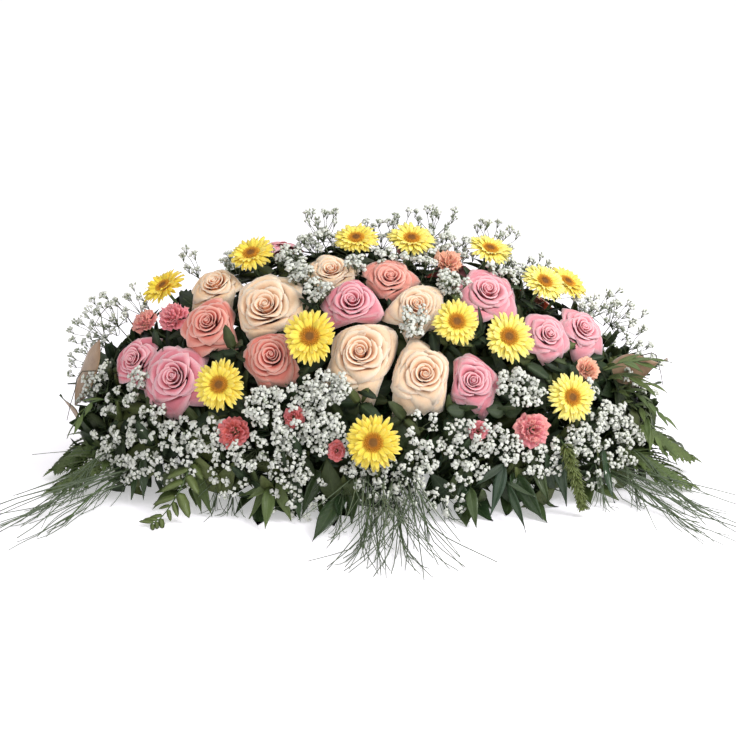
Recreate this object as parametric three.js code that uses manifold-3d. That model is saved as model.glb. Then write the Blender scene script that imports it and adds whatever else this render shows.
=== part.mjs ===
// A casket spray: a long low mound of roses, gerberas, spray carnations and baby's breath over greenery.
// Every stem stands in one brick of wet foam, which a plastic saddle with three hoops holds on the lid.
// Millimetres, +Z up, front towards -Y. The origin is the middle of the saddle's flat underside.

import * as THREE from "three";
import { mergeVertices } from "three/addons/utils/BufferGeometryUtils.js";
import Module from "manifold-3d";

const wasm = await Module();
wasm.setup();

// The mound that the faces of the blooms lie on: half an ellipsoid over the floor.
const moundHalfLength = 416;
const moundHalfDepth = 253;
const moundHeight = 312;

// The foam brick and the saddle round it.
const foamLength = 460;
const foamDepth = 110;
const foamHeight = 80;
const saddleFloor = 3;
const saddleWall = 2.5;
const saddleSide = 24;
const hoopWidth = 9;
const hoopPlaces = [-134, 47, 199];
const footLength = 34;
const footReach = 26;

// Neighbouring pieces keep this far apart, and a stem's hole is this much wider than the stem. Slivers
// thinner than the second value are cleared away where pieces are joined.
const gap = 0.4;
const sliver = 0.05;
const floorClearance = 0.6;

// A stem that starts at a point of the mound ends at these shares of that point's place, deep in the foam.
const footShareAcross = 0.5;
const footShareDepth = 0.17;
const footLow = 40;
const footShareHeight = 0.06;

// How far a bloom turns from the mound's own slope towards someone who stands in front of it.
const turnToViewer = 0.4;
const viewerHeight = 0.36;

// Blooms: across (mm), lean from upright towards the front (degrees), width (mm). A negative lean is behind.
const creamRoses = [
  [-8, 49, 90],
  [68, 54, 82],
  [-132, 32, 84],
  [-202, 15, 62],
  [-48, 21, 58],
  [63, 35, 68],
  [-46, -44, 76],
];
const pinkRoses = [
  [-20, 34, 68],
  [156, 25, 70],
  [131, 55, 62],
  [-250, 50, 76],
  [-306, 36, 56],
  [284, 25, 60],
  [231, 36, 54],
  [-128, -8, 58],
  [128, -40, 70],
  [-250, -36, 66],
];
const coralRoses = [
  [-205, 34, 68],
  [-122, 49, 68],
  [28, 25, 58],
  [228, -42, 66],
];
const gerberas = [
  [-268, 4, 64],
  [-150, 10, 66],
  [-15, 10, 62],
  [56, 9, 66],
  [159, 4, 64],
  [262, 2, 62],
  [226, 15, 64],
  [108, 41, 66],
  [172, 43, 70],
  [-70, 46, 74],
  [-180, 56, 68],
  [250, 57, 66],
  [6, 71, 72],
  [-140, -52, 66],
  [42, -60, 68],
  [180, -64, 66],
];
const carnationSprays = {
  carnations_left: [
    [-257, 24, 42],
    [-300, 15, 36],
  ],
  carnations_front: [
    [-166, 68, 40],
    [-92, 65, 26],
    [-38, 73, 24],
  ],
  carnations_right: [
    [206, 67, 42],
    [284, 44, 32],
    [136, 68, 24],
  ],
  carnations_back: [
    [106, 14, 38],
    [60, -26, 40],
  ],
};

// Baby's breath patches: across (mm), lean (degrees), height over the mound (mm), spread (mm), heads.
const breathPatches = {
  babys_breath_front_left: [
    [-127, 62, 0, 24, 2],
    [-66, 62, 0, 28, 2],
    [-56, 72, 0, 26, 2],
    [-145, 75, 0, 24, 2],
    [-98, 79, 0, 24, 1],
    [-235, 70, 0, 22, 1],
    [-276, 64, 0, 26, 2],
  ],
  babys_breath_front_right: [
    [45, 78, 0, 26, 2],
    [84, 74, 0, 24, 1],
    [122, 73, 0, 24, 1],
    [190, 57, 0, 26, 2],
    [182, 76, 0, 18, 1],
    [281, 69, 0, 26, 2],
    [314, 60, 0, 24, 2],
  ],
  babys_breath_left: [
    [-322, 56, 0, 26, 2],
    [-328, 70, 0, 22, 2],
    [-340, 9, 14, 28, 2],
    [-350, -40, 0, 26, 2],
  ],
  babys_breath_right: [
    [340, 64, 0, 22, 2],
    [322, 8, 18, 30, 2],
    [344, -40, 0, 28, 2],
  ],
  babys_breath_top: [
    [-85, 22, 2, 18, 1],
    [-66, -3, 36, 30, 2],
    [104, 26, 2, 18, 1],
    [88, -6, 44, 32, 3],
    [162, -10, 38, 26, 2],
  ],
  babys_breath_back: [
    [-95, -66, 0, 34, 2],
    [-200, -60, 0, 30, 2],
    [10, -72, 0, 30, 2],
    [112, -64, 0, 30, 2],
    [240, -62, 0, 30, 2],
  ],
};
const breathHead = 24;

// Greenery and baby's breath grow in bunches. Each has one short main stem, given from its root in the foam
// to its outer end, and its branches leave that one after another.
const mainStems = {
  magnolia_left: [[-200, 26, 38], [-262, 40, 42]],
  magnolia_right: [[200, 26, 38], [262, 40, 42]],
  needle_spray_left: [[-200, -25, 40], [-268, -52, 42]],
  needle_spray_right: [[200, -25, 40], [268, -52, 42]],
  needle_spray_front: [[14, -22, 40], [16, -92, 40]],
  fern_left: [[-200, 4, 56], [-266, 4, 60]],
  fern_right: [[200, 4, 56], [266, 4, 60]],
  fern_back: [[20, 22, 40], [22, 90, 42]],
  leafy_stems_front_left: [[-112, -22, 40], [-122, -92, 38]],
  leafy_stems_front_right: [[108, -22, 40], [120, -92, 38]],
  leafy_stems_back: [[-90, 22, 40], [-98, 90, 38]],
  babys_breath_front_left: [[-78, -24, 58], [-88, -88, 72]],
  babys_breath_front_right: [[76, -24, 58], [86, -88, 72]],
  babys_breath_left: [[-206, -8, 70], [-262, -14, 88]],
  babys_breath_right: [[206, -8, 70], [262, -14, 88]],
  babys_breath_top: [[30, 6, 60], [34, 10, 124]],
  babys_breath_back: [[84, 24, 58], [92, 88, 72]],
};

// Places (mm) that each branch passes on its way from the main stem. The last one is where it ends, and on a
// fern it is the tip of the frond, followed by the frond's width.
const magnoliaRoutes = {
  magnolia_left: [
    [[-300, 22, 92], [-338, -6, 104]],
    [[-296, 60, 50], [-330, 84, 56]],
  ],
  magnolia_right: [
    [[300, 22, 92], [330, -2, 112]],
    [[296, 60, 50], [330, 84, 56]],
  ],
};
const needleRoutes = {
  needle_spray_left: [
    [[-320, -90, 40], [-370, -150, 26], [-404, -214, 7]],
    [[-300, -120, 34], [-345, -195, 20], [-370, -258, 6]],
  ],
  needle_spray_right: [
    [[320, -90, 40], [372, -148, 26], [408, -206, 7]],
    [[300, -120, 34], [352, -188, 20], [382, -244, 6]],
  ],
  needle_spray_front: [
    [[12, -160, 40], [4, -260, 36], [-6, -345, 6]],
    [[24, -160, 36], [34, -255, 32], [42, -350, 6]],
  ],
};
const fernFronds = {
  fern_left: [
    [[-270, -10, 66], [-312, -40, 66], [-416, -82, 14], 80],
    [[-268, -36, 54], [-304, -84, 44], [-404, -152, 10], 70],
    [[-268, 24, 58], [-304, 50, 54], [-398, 96, 10], 76],
  ],
  fern_right: [
    [[270, -10, 66], [316, -34, 70], [434, -62, 24], 80],
    [[268, -36, 54], [308, -78, 44], [416, -132, 10], 70],
    [[268, 24, 58], [304, 50, 54], [402, 90, 10], 76],
  ],
  fern_back: [
    [[-20, 110, 40], [-70, 170, 40], [-130, 290, 8], 84],
    [[22, 120, 40], [22, 180, 44], [14, 310, 8], 84],
    [[70, 110, 40], [120, 160, 40], [180, 276, 8], 84],
  ],
};
// Leafy stems: bend, end, leaves, leaf length (mm), leaf width (mm), rows of corners along each leaf.
const leafRoutes = {
  leafy_stems_front_left: [
    [[-128, -140, 34], [-132, -206, 14], 5, 66, 26, 2],
    [[-80, -140, 32], [-58, -200, 14], 5, 66, 26, 2],
    [[-178, -120, 34], [-240, -176, 16], 6, 46, 22, 1],
  ],
  leafy_stems_front_right: [
    [[116, -140, 34], [118, -206, 14], 5, 66, 26, 2],
    [[164, -130, 34], [196, -196, 14], 5, 66, 26, 2],
    [[220, -100, 36], [290, -158, 16], 6, 46, 22, 1],
  ],
  leafy_stems_back: [
    [[-150, 120, 36], [-230, 170, 16], 6, 50, 22, 1],
    [[-100, 150, 34], [-104, 214, 14], 5, 66, 26, 2],
    [[20, 105, 22], [110, 200, 14], 5, 66, 26, 2],
  ],
};

// Bed foliage: branches that come up between the stems of the blooms and spread tufts of leaves under the
// petals or, past bedRimLean, round the rim. Each is given by where it ends: across (mm), lean (degrees).
const bedPlaces = {
  magnolia_left: [
    [-390, -20],
    [-376, -58],
    [-366, 24],
  ],
  magnolia_right: [
    [390, 14],
    [386, -30],
    [376, -64],
    [344, 38],
  ],
  leafy_stems_front_left: [
    [-330, 86],
    [-270, 86],
    [-192, 86],
    [-42, 86],
  ],
  leafy_stems_front_right: [
    [108, 86],
    [246, 86],
    [324, 86],
  ],
  leafy_stems_back: [
    [-324, -18],
    [-306, -44],
    [-290, -70],
    [-210, -14],
    [-225, -82],
    [-156, -30],
    [-160, -82],
    [-90, -26],
    [-84, -84],
    [-30, -18],
    [42, -42],
    [20, -88],
    [90, -12],
    [90, -84],
    [186, -20],
    [162, -82],
    [228, -84],
    [300, -24],
    [294, -46],
    [300, -70],
  ],
};
const bedDepth = 18;
const bedLow = 26;
const bedRimLean = 80;
const bedThickness = 2.4;
const bedNotch = 3;
const bedStemRadius = 1.2;

// A tuft's leaves: length and width (mm), the shares of that size that are tried until one has room, how many
// there are, how far each turns from the last, and by what share of its length a tip lies forward.
const bedLeaf = [64, 34];
const largeBedLeaf = [76, 40];
const bedSizes = [1.05, 0.9, 0.75, 0.6];
const bedTuft = { count: 4, start: 0, spread: Math.PI / 2, forward: -0.12 };
const rimTuft = { count: 3, start: 0.2, spread: 1.35, forward: 0.5 };
const fewestBedLeaves = 3;

// Colours of petals and leaves.
const cream = "#f4d6bd";
const pink = "#df91a8";
const coral = "#e58a80";
const yellow = "#f6d340";
const carnationPink = "#ee7f6e";
const leafGreen = "#3f6a35";
const darkGreen = "#2c5230";
const needleGreen = "#4d7541";
const leafBack = "#a97f5c";
const floretWhite = "#eef0e6";


const up = new THREE.Vector3(0, 0, 1);

// A seeded draw, so that every run scatters the same way.
let seed = 20417;
function draw(low, high) {
  seed = (Math.imul(seed, 1664525) + 1013904223) >>> 0;
  return low + ((high - low) * seed) / 2 ** 32;
}

// A closed geometry as a solid, with its shared corners merged.
function solidOf(geometry) {
  const bare = geometry.clone();
  bare.deleteAttribute("normal");
  bare.deleteAttribute("uv");
  const merged = mergeVertices(bare, 1e-3);
  const vertProperties = merged.attributes.position.array;
  const triVerts = new Uint32Array(merged.index.array);
  return new wasm.Manifold(new wasm.Mesh({ numProp: 3, vertProperties, triVerts }));
}

function shapeOf(corners, faces) {
  const geometry = new THREE.BufferGeometry();
  geometry.setAttribute("position", new THREE.Float32BufferAttribute(corners, 3));
  geometry.setIndex(faces);
  return geometry;
}

function joined(solids) {
  return wasm.Manifold.union(solids);
}

function geometryOf(solid) {
  const { vertProperties, triVerts } = solid.getMesh();
  const geometry = new THREE.BufferGeometry();
  geometry.setAttribute("position", new THREE.BufferAttribute(vertProperties, 3));
  geometry.setIndex(new THREE.BufferAttribute(triVerts, 1));
  return geometry.toNonIndexed();
}

// The finished nodes, and all solids that stand already, so that later pieces can be kept clear of them.
const spray = new THREE.Group();
const standing = new Map();

function stand(name, solid) {
  standing.set(name, { solid, box: boxOf(solid) });
}

function addNode(name, solid, color, roughness) {
  const material = new THREE.MeshStandardMaterial({ color, roughness, metalness: 0 });
  const geometry = geometryOf(solid);
  geometry.computeVertexNormals();
  const mesh = new THREE.Mesh(geometry, material);
  mesh.name = name;
  spray.add(mesh);
  stand(name, solid);
}

function boxOf(solid) {
  const { min, max } = solid.boundingBox();
  return new THREE.Box3(new THREE.Vector3(...min), new THREE.Vector3(...max));
}

// Whether a piece is off the floor and clear of all that stands, apart from its own node.
function isClear(solid, own) {
  const box = boxOf(solid);
  if (box.min.z < floorClearance) return false;
  box.expandByScalar(gap);
  return [...standing].every(([name, other]) => (
    name === own || !box.intersectsBox(other.box) || solid.minGap(other.solid, 2 * gap) >= gap
  ));
}

// A point of the mound, and the direction in which its surface faces there.
function onMound(across, lean, lift = 0) {
  const shrink = Math.sqrt(1 - (across / moundHalfLength) ** 2);
  const angle = THREE.MathUtils.degToRad(lean);
  const point = new THREE.Vector3(
    across,
    -moundHalfDepth * shrink * Math.sin(angle),
    moundHeight * shrink * Math.cos(angle),
  );
  const slope = new THREE.Vector3(
    point.x / moundHalfLength ** 2,
    point.y / moundHalfDepth ** 2,
    point.z / moundHeight ** 2,
  ).normalize();
  return { point: point.addScaledVector(slope, lift), slope };
}

// The matrix that takes a piece made along +Z to a place, pointing in a direction and turned about it.
function placing(point, direction, turn = 0) {
  const turned = new THREE.Quaternion().setFromUnitVectors(up, direction);
  turned.multiply(new THREE.Quaternion().setFromAxisAngle(up, turn));
  return new THREE.Matrix4().compose(point, turned, new THREE.Vector3(1, 1, 1));
}

// A straight tapered rod between two points.
function rod(start, end, startRadius, endRadius, sides) {
  const along = end.clone().sub(start);
  const geometry = new THREE.CylinderGeometry(endRadius, startRadius, along.length(), sides);
  geometry.rotateX(Math.PI / 2);
  const middle = start.clone().add(end).multiplyScalar(0.5);
  geometry.applyMatrix4(placing(middle, along.normalize()));
  return solidOf(geometry);
}

// Stems. Each ends deep in the foam, which later gets a slightly wider hole there.
const foamHoles = [];
const stemSides = 3;

function footUnder(point) {
  return new THREE.Vector3(
    point.x * footShareAcross,
    point.y * footShareDepth,
    footLow + point.z * footShareHeight,
  );
}

function stem(top, foot, radius) {
  const beyond = foot.clone().sub(top).normalize().multiplyScalar(gap);
  foamHoles.push(rod(top, foot.clone().add(beyond), radius + 1.5 * gap, radius + 1.5 * gap, stemSides));
  return rod(top, foot, radius, radius, stemSides);
}

// Rose: cups of petals round a tight bud, turned from a profile and scalloped into petals cup by cup.
// Radius and height are shares of the bloom's own radius. petals is 0 in the grooves between the cups.
const roseProfile = [
  { radius: 0, height: -1, petals: 0 },
  { radius: 0.74, height: -0.66, petals: 0 },
  { radius: 1, height: -0.3, petals: 4 },
  { radius: 0.62, height: -0.45, petals: 0 },
  { radius: 0.73, height: -0.06, petals: 4 },
  { radius: 0.43, height: -0.36, petals: 0 },
  { radius: 0.45, height: 0.02, petals: 3 },
  { radius: 0.22, height: -0.26, petals: 0 },
  { radius: 0.2, height: 0.03, petals: 3 },
  { radius: 0, height: -0.03, petals: 0 },
];
const smallRoseProfile = [...roseProfile.slice(0, 7), { radius: 0, height: -0.12, petals: 0 }];
const roseSides = 12;
const smallRoseWidth = 67;
const roseDepth = 0.95;

// Carnation: ragged rings of short petals over a slim calyx.
const carnationProfile = [
  { radius: 0, height: -1.2, petals: 0 },
  { radius: 0.6, height: -0.5, petals: 0 },
  { radius: 0.98, height: -0.1, petals: 6 },
  { radius: 0.38, height: -0.16, petals: 0 },
  { radius: 0.34, height: 0.06, petals: 4 },
  { radius: 0, height: 0.1, petals: 0 },
];
const carnationSides = 10;
const carnationDepth = 1.1;

// A head turned from a profile. Each cup starts its petals half a petal round from the one inside it.
function turnedHead(profile, sides, radius, raggedness) {
  const points = profile.map((ring) => new THREE.Vector2(ring.radius, ring.height));
  const geometry = new THREE.LatheGeometry(points, sides);
  geometry.rotateX(Math.PI / 2);
  const position = geometry.attributes.position;
  for (let i = 0; i < position.count; i++) {
    const index = i % profile.length;
    const { petals } = profile[index];
    if (!petals) continue;
    const round = Math.atan2(position.getY(i), position.getX(i));
    const middle = Math.abs(Math.cos((petals * round) / 2 + index * 0.9));
    const out = 1 - raggedness * (1 - middle);
    const fall = raggedness * 0.7 * (1 - middle);
    position.setXYZ(i, position.getX(i) * out, position.getY(i) * out, position.getZ(i) - fall);
  }
  return geometry.scale(radius, radius, radius);
}

// Gerbera: straps in two layers round a domed disc, every second one shorter and lying over its neighbours.
const gerberaStraps = 16;
const gerberaDisc = 0.27;
const gerberaDepth = 0.34;

function gerberaHead(radius) {
  const corners = [];
  const faces = [];
  const at = (share, turn, height) => {
    const round = (turn * 2 * Math.PI) / gerberaStraps;
    corners.push(radius * share * Math.cos(round), radius * share * Math.sin(round), radius * height);
    return corners.length / 3 - 1;
  };
  const top = at(0, 0, 0.08);
  const quarter = gerberaStraps / 4;
  const calyx = [0, 1, 2, 3].map((k) => at(0.2, (k + 0.5) * quarter, -gerberaDepth));
  const ring = [];
  for (let k = 0; k < gerberaStraps; k++) {
    ring.push({
      disc: at(gerberaDisc, k, 0.05),
      notch: at(0.52, k, 0.01),
      left: at(k % 2 ? 0.86 : 0.96, k + 0.22, k % 2 ? 0.1 : 0),
      right: at(k % 2 ? 0.9 : 1, k + 0.72, k % 2 ? 0.12 : 0.02),
    });
  }
  ring.forEach((a, k) => {
    const b = ring[(k + 1) % gerberaStraps];
    const under = calyx[Math.floor(k / quarter)];
    faces.push(top, a.disc, b.disc);
    faces.push(a.disc, a.notch, a.left, a.disc, a.left, a.right, a.disc, a.right, b.disc);
    faces.push(b.disc, a.right, b.notch);
    faces.push(under, a.left, a.notch, under, a.right, a.left, under, b.notch, a.right);
    if ((k + 1) % quarter === 0) faces.push(under, calyx[((k + 1) / quarter) % 4], b.notch);
  });
  faces.push(calyx[0], calyx[2], calyx[1], calyx[0], calyx[3], calyx[2]);
  return shapeOf(corners, faces);
}

// Each kind of bloom: how its head is made, how deep it is, how proud of the mound it stands, and its stem.
const kinds = {
  rose: {
    head: (radius) => {
      const profile = 2 * radius < smallRoseWidth ? smallRoseProfile : roseProfile;
      return turnedHead(profile, roseSides, radius, 0.16);
    },
    depth: roseDepth,
    lift: 0,
    heart: 0.4,
    stemRadius: 2.6,
  },
  gerbera: {
    head: gerberaHead,
    depth: gerberaDepth,
    lift: 11,
    heart: 0.04,
    stemRadius: 2.4,
  },
  carnation: {
    head: (radius) => turnedHead(carnationProfile, carnationSides, radius, 0.3),
    depth: carnationDepth,
    lift: 0,
    heart: 0.4,
    stemRadius: 1.6,
  },
};

const blooms = [];

function plan(kindName, node, color, [across, lean, width]) {
  const kind = kinds[kindName];
  const radius = width / 2;
  const { point, slope } = onMound(across, lean, kind.lift);
  const side = lean < 0 ? 1 : -1;
  const facing = slope.add(new THREE.Vector3(0, side, viewerHeight).multiplyScalar(turnToViewer)).normalize();
  const heart = point.clone().addScaledVector(facing, -kind.heart * radius);
  const base = point.clone().addScaledVector(facing, -kind.depth * radius);
  blooms.push({ kind, node, color, radius, point, facing, heart, base, turn: draw(0, 2 * Math.PI) });
}

creamRoses.forEach((row, i) => plan("rose", `rose_cream_${i + 1}`, cream, row));
pinkRoses.forEach((row, i) => plan("rose", `rose_pink_${i + 1}`, pink, row));
coralRoses.forEach((row, i) => plan("rose", `rose_coral_${i + 1}`, coral, row));
gerberas.forEach((row, i) => plan("gerbera", `gerbera_${i + 1}`, yellow, row));
for (const [node, rows] of Object.entries(carnationSprays)) {
  rows.forEach((row) => plan("carnation", node, carnationPink, row));
}

// Packed petals give way to their neighbours: a head's points past half way to a neighbour's share are eased
// back, so that they never reach the plane between the two.
function pressed(geometry, bloom) {
  const position = geometry.attributes.position;
  const point = new THREE.Vector3();
  for (const other of blooms) {
    if (other === bloom) continue;
    const away = other.heart.clone().sub(bloom.heart);
    const apart = away.length();
    if (apart > 1.08 * (bloom.radius + other.radius) + gap) continue;
    away.divideScalar(apart);
    const limit = (apart ** 2 + bloom.radius ** 2 - other.radius ** 2) / (2 * apart) - gap / 2;
    const free = 0.55 * limit;
    for (let i = 0; i < position.count; i++) {
      point.fromBufferAttribute(position, i);
      const reach = point.clone().sub(bloom.heart).dot(away);
      if (reach <= free) continue;
      const eased = free + (limit - free) * (1 - Math.exp((free - reach) / (limit - free)));
      point.addScaledVector(away, eased - reach);
      position.setXYZ(i, point.x, point.y, point.z);
    }
  }
  return geometry;
}

function headSolid(bloom) {
  const geometry = bloom.kind.head(bloom.radius);
  geometry.applyMatrix4(placing(bloom.point, bloom.facing, bloom.turn));
  return solidOf(pressed(geometry, bloom));
}

// Single blooms each have a stem of their own. The blooms of a spray carnation share one that forks.
const sunk = 0.3;
const offAxis = 0.3;

function sunkBase(bloom) {
  const { depth } = bloom.kind;
  const sideways = bloom.facing.clone().cross(up).normalize();
  const inside = bloom.base.clone().addScaledVector(bloom.facing, sunk * depth * bloom.radius);
  return inside.addScaledVector(sideways, offAxis * depth * bloom.radius);
}

function flowerNode(rows) {
  const [first, ...others] = rows;
  const { stemRadius } = first.kind;
  const foot = footUnder(first.base);
  const top = sunkBase(first);
  const forks = others.map((bloom, i) => {
    const fork = foot.clone().lerp(top, 0.5 - 0.06 * i);
    return rod(sunkBase(bloom), fork, stemRadius, 0.4 * stemRadius, stemSides);
  });
  return joined([...rows.map(headSolid), stem(top, foot, stemRadius), ...forks]);
}

const nodesOfBlooms = [...new Set(blooms.map((bloom) => bloom.node))];
for (const node of nodesOfBlooms) {
  const rows = blooms.filter((bloom) => bloom.node === node);
  addNode(node, flowerNode(rows), rows[0].color, 0.7);
}

// Bunches. A branch, leaf, needle or head is tried with fresh draws until it is clear of all that stands, and
// left out if it never is.
const mainRadius = 3;
const branchRadius = 2.2;
const tries = 14;

function crosses(piece, fellow) {
  return boxOf(piece).intersectsBox(boxOf(fellow)) && piece.intersect(fellow).volume() > 0;
}

// The first of several tries that is clear of all that stands and doesn't cross its own fellows.
function grown(make, fellows = [], own = "") {
  for (let attempt = 0; attempt < tries; attempt++) {
    const piece = make(attempt);
    if (isClear(piece, own) && !fellows.some((fellow) => crosses(piece, fellow))) return [piece];
  }
  return [];
}

// The bunches as they grow: each one's main stem, colour and pieces.
const bunches = new Map();

function growBunch(node, color, branches, grow) {
  const [root, end] = mainStems[node].map((place) => new THREE.Vector3(...place));
  const main = stem(end, root, mainRadius);
  const pieces = [main];
  branches.forEach((branch, i) => {
    const from = end.clone().lerp(root, 0.03 + (0.4 * i) / branches.length);
    pieces.push(...grow(from, branch, pieces));
  });
  bunches.set(node, { root, end, color, pieces });
  stand(node, joined(pieces));
}

// A tube along a smooth line through a few places, with the straight steps that it is made of.
function bentStem(places, radius, steps) {
  const line = new THREE.CatmullRomCurve3(places);
  const section = new THREE.Shape();
  for (let k = 0; k < stemSides; k++) {
    const round = (2 * Math.PI * k) / stemSides;
    section[k ? "lineTo" : "moveTo"](radius * Math.cos(round), radius * Math.sin(round));
  }
  section.closePath();
  const geometry = new THREE.ExtrudeGeometry(section, { steps, extrudePath: line, curveSegments: 1 });
  const joints = line.getSpacedPoints(steps);
  const at = (share) => {
    const step = Math.min(Math.floor(share * steps), steps - 1);
    const along = joints[step + 1].clone().sub(joints[step]);
    const point = joints[step].clone().addScaledVector(along, share * steps - step);
    return { point, along: along.normalize() };
  };
  const middles = joints.slice(1).map((joint, k) => joint.clone().lerp(joints[k], 0.5));
  const nearest = (place) => {
    const away = middles.map((middle) => middle.distanceTo(place));
    return away.indexOf(Math.min(...away));
  };
  return { at, nearest, geometry, solid: solidOf(geometry) };
}

// A bent stem through the given places, which may shift a little to find a clear way.
function clearStem(from, route, radius, steps, shift = 7) {
  for (let attempt = 0; attempt < 3 * tries; attempt++) {
    const loose = (shift * attempt) / tries;
    const places = route.map(
      ([x, y, z], i) => new THREE.Vector3(
        x + draw(-loose, loose),
        y + draw(-loose, loose),
        i === route.length - 1 ? z : Math.max(z + draw(-loose, loose), 4),
      ),
    );
    const made = bentStem([from, ...places], radius, steps);
    if (isClear(made.solid)) return made;
  }
  return null;
}

// The matrix that takes a piece made along +Y, with its upper face to +Z, to a place.
function placeAcross(point, direction, upward) {
  const along = direction.clone().normalize();
  const across = along.clone().cross(upward).normalize();
  const above = across.clone().cross(along);
  return new THREE.Matrix4().makeBasis(across, along, above).setPosition(point);
}

function laid(geometry, point, direction, upward = up) {
  return solidOf(geometry.applyMatrix4(placeAcross(point, direction, upward)));
}

// A leaf: a thin blade, thickest along its rib, with its sides folded up a little and its tip arched down.
function blade(length, width, rows, fold, arch, thickness) {
  const corners = [0, 0, 0];
  const faces = [];
  for (let row = 1; row <= rows; row++) {
    const t = row / (rows + 1);
    const half = (width / 2) * Math.sin(Math.PI * t ** 0.85);
    const drop = -arch * length * t * t;
    corners.push(-half, t * length, drop + fold * half, half, t * length, drop + fold * half);
    corners.push(0, t * length, drop + thickness / 2, 0, t * length, drop - thickness / 2);
  }
  corners.push(0, length, -arch * length);
  const tip = corners.length / 3 - 1;
  const [left, right, over, under] = [1, 2, 3, 4].map((first) => (row) => first + 4 * (row - 1));
  faces.push(0, over(1), left(1), 0, right(1), over(1), 0, left(1), under(1), 0, under(1), right(1));
  for (let row = 1; row < rows; row++) {
    const next = row + 1;
    faces.push(left(row), over(row), over(next), left(row), over(next), left(next));
    faces.push(over(row), right(row), right(next), over(row), right(next), over(next));
    faces.push(under(row), left(row), left(next), under(row), left(next), under(next));
    faces.push(right(row), under(row), under(next), right(row), under(next), right(next));
  }
  faces.push(tip, left(rows), over(rows), tip, over(rows), right(rows));
  faces.push(tip, under(rows), left(rows), tip, right(rows), under(rows));
  return shapeOf(corners, faces);
}

// Leaves on alternate sides of a bent stem, and one that ends it.
function leafyStem(from, route, { leaves, length, width, rows, first }) {
  const made = clearStem(from, route, branchRadius, 4);
  if (!made) return [];
  const blades = [];
  for (let k = leaves - 1; k >= 0; k--) {
    const { point, along } = made.at(first + ((0.98 - first) * k) / (leaves - 1));
    const across = along.clone().cross(up).normalize().multiplyScalar(k % 2 ? 1 : -1);
    blades.push(...grown((attempt) => {
      const direction = along.clone().addScaledVector(up, draw(-0.05, 0.12 + 0.05 * attempt));
      if (k < leaves - 1) direction.addScaledVector(across, draw(0.7, 1.4));
      const size = draw(0.88, 1.08) * (1 - 0.03 * attempt);
      return laid(blade(length * size, width * size, rows, 0.15, draw(0.05, 0.2), 1.5), point, direction);
    }, blades));
  }
  return [made.solid, ...blades];
}

// The corners of one leaf of a tuft: its right, left and tip.
function leafCorners({ length, width }, forward) {
  return [
    [0.5 * length, -width / 2, 0.4 * forward * length],
    [0.5 * length, width / 2, 0.4 * forward * length],
    [length, 0, forward * length],
  ];
}

// A tuft: leaves round the end of a straight stem, all one closed shape. The stem's foot is given in the
// tuft's own frame, where the leaves spread round +Z. Each leaf has an angle, a length and a width.
function tuft(leaves, foot, forward) {
  const top = 0;
  const corners = [0, 0, bedThickness / 2];
  const faces = [];
  const numbered = (k) => {
    const first = 1 + 6 * (k % leaves.length);
    const [right, left, tip, notch, under, low] = [0, 1, 2, 3, 4, 5].map((i) => first + i);
    return { right, left, tip, notch, under, low };
  };
  leaves.forEach((leaf, k) => {
    const [x, y] = [Math.cos(leaf.angle), Math.sin(leaf.angle)];
    const following = k + 1 < leaves.length ? leaves[k + 1].angle : leaves[0].angle + 2 * Math.PI;
    const between = (leaf.angle + following) / 2;
    for (const [along, aside, height] of leafCorners(leaf, forward)) {
      corners.push(along * x - aside * y, along * y + aside * x, height);
    }
    corners.push(bedNotch * Math.cos(between), bedNotch * Math.sin(between), 0);
    corners.push(bedStemRadius * x, bedStemRadius * y, -bedThickness / 2);
    corners.push(foot.x + bedStemRadius * x, foot.y + bedStemRadius * y, foot.z);
    const { right, left, tip, notch, under, low } = numbered(k);
    const next = numbered(k + 1);
    faces.push(top, right, tip, top, tip, left, top, left, notch, top, notch, next.right);
    faces.push(under, tip, right, under, left, tip, under, notch, left);
    faces.push(under, next.under, notch, next.under, next.right, notch);
    faces.push(under, low, next.low, under, next.low, next.under);
    if (k > 0 && k + 1 < leaves.length) faces.push(numbered(0).low, next.low, low);
  });
  return shapeOf(corners, faces);
}

// A single leaf of a tuft, as a plain wedge that takes up the same room.
function leafBlank(leaf, forward, matrix) {
  const root = [[bedNotch, 0, bedThickness / 2], [bedNotch, 0, -bedThickness / 2]];
  const corners = [...root, ...leafCorners(leaf, forward)].flat();
  const faces = [0, 2, 4, 0, 4, 3, 1, 4, 2, 1, 3, 4, 0, 1, 2, 0, 3, 1];
  return solidOf(shapeOf(corners, faces).rotateZ(leaf.angle).applyMatrix4(matrix));
}

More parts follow.
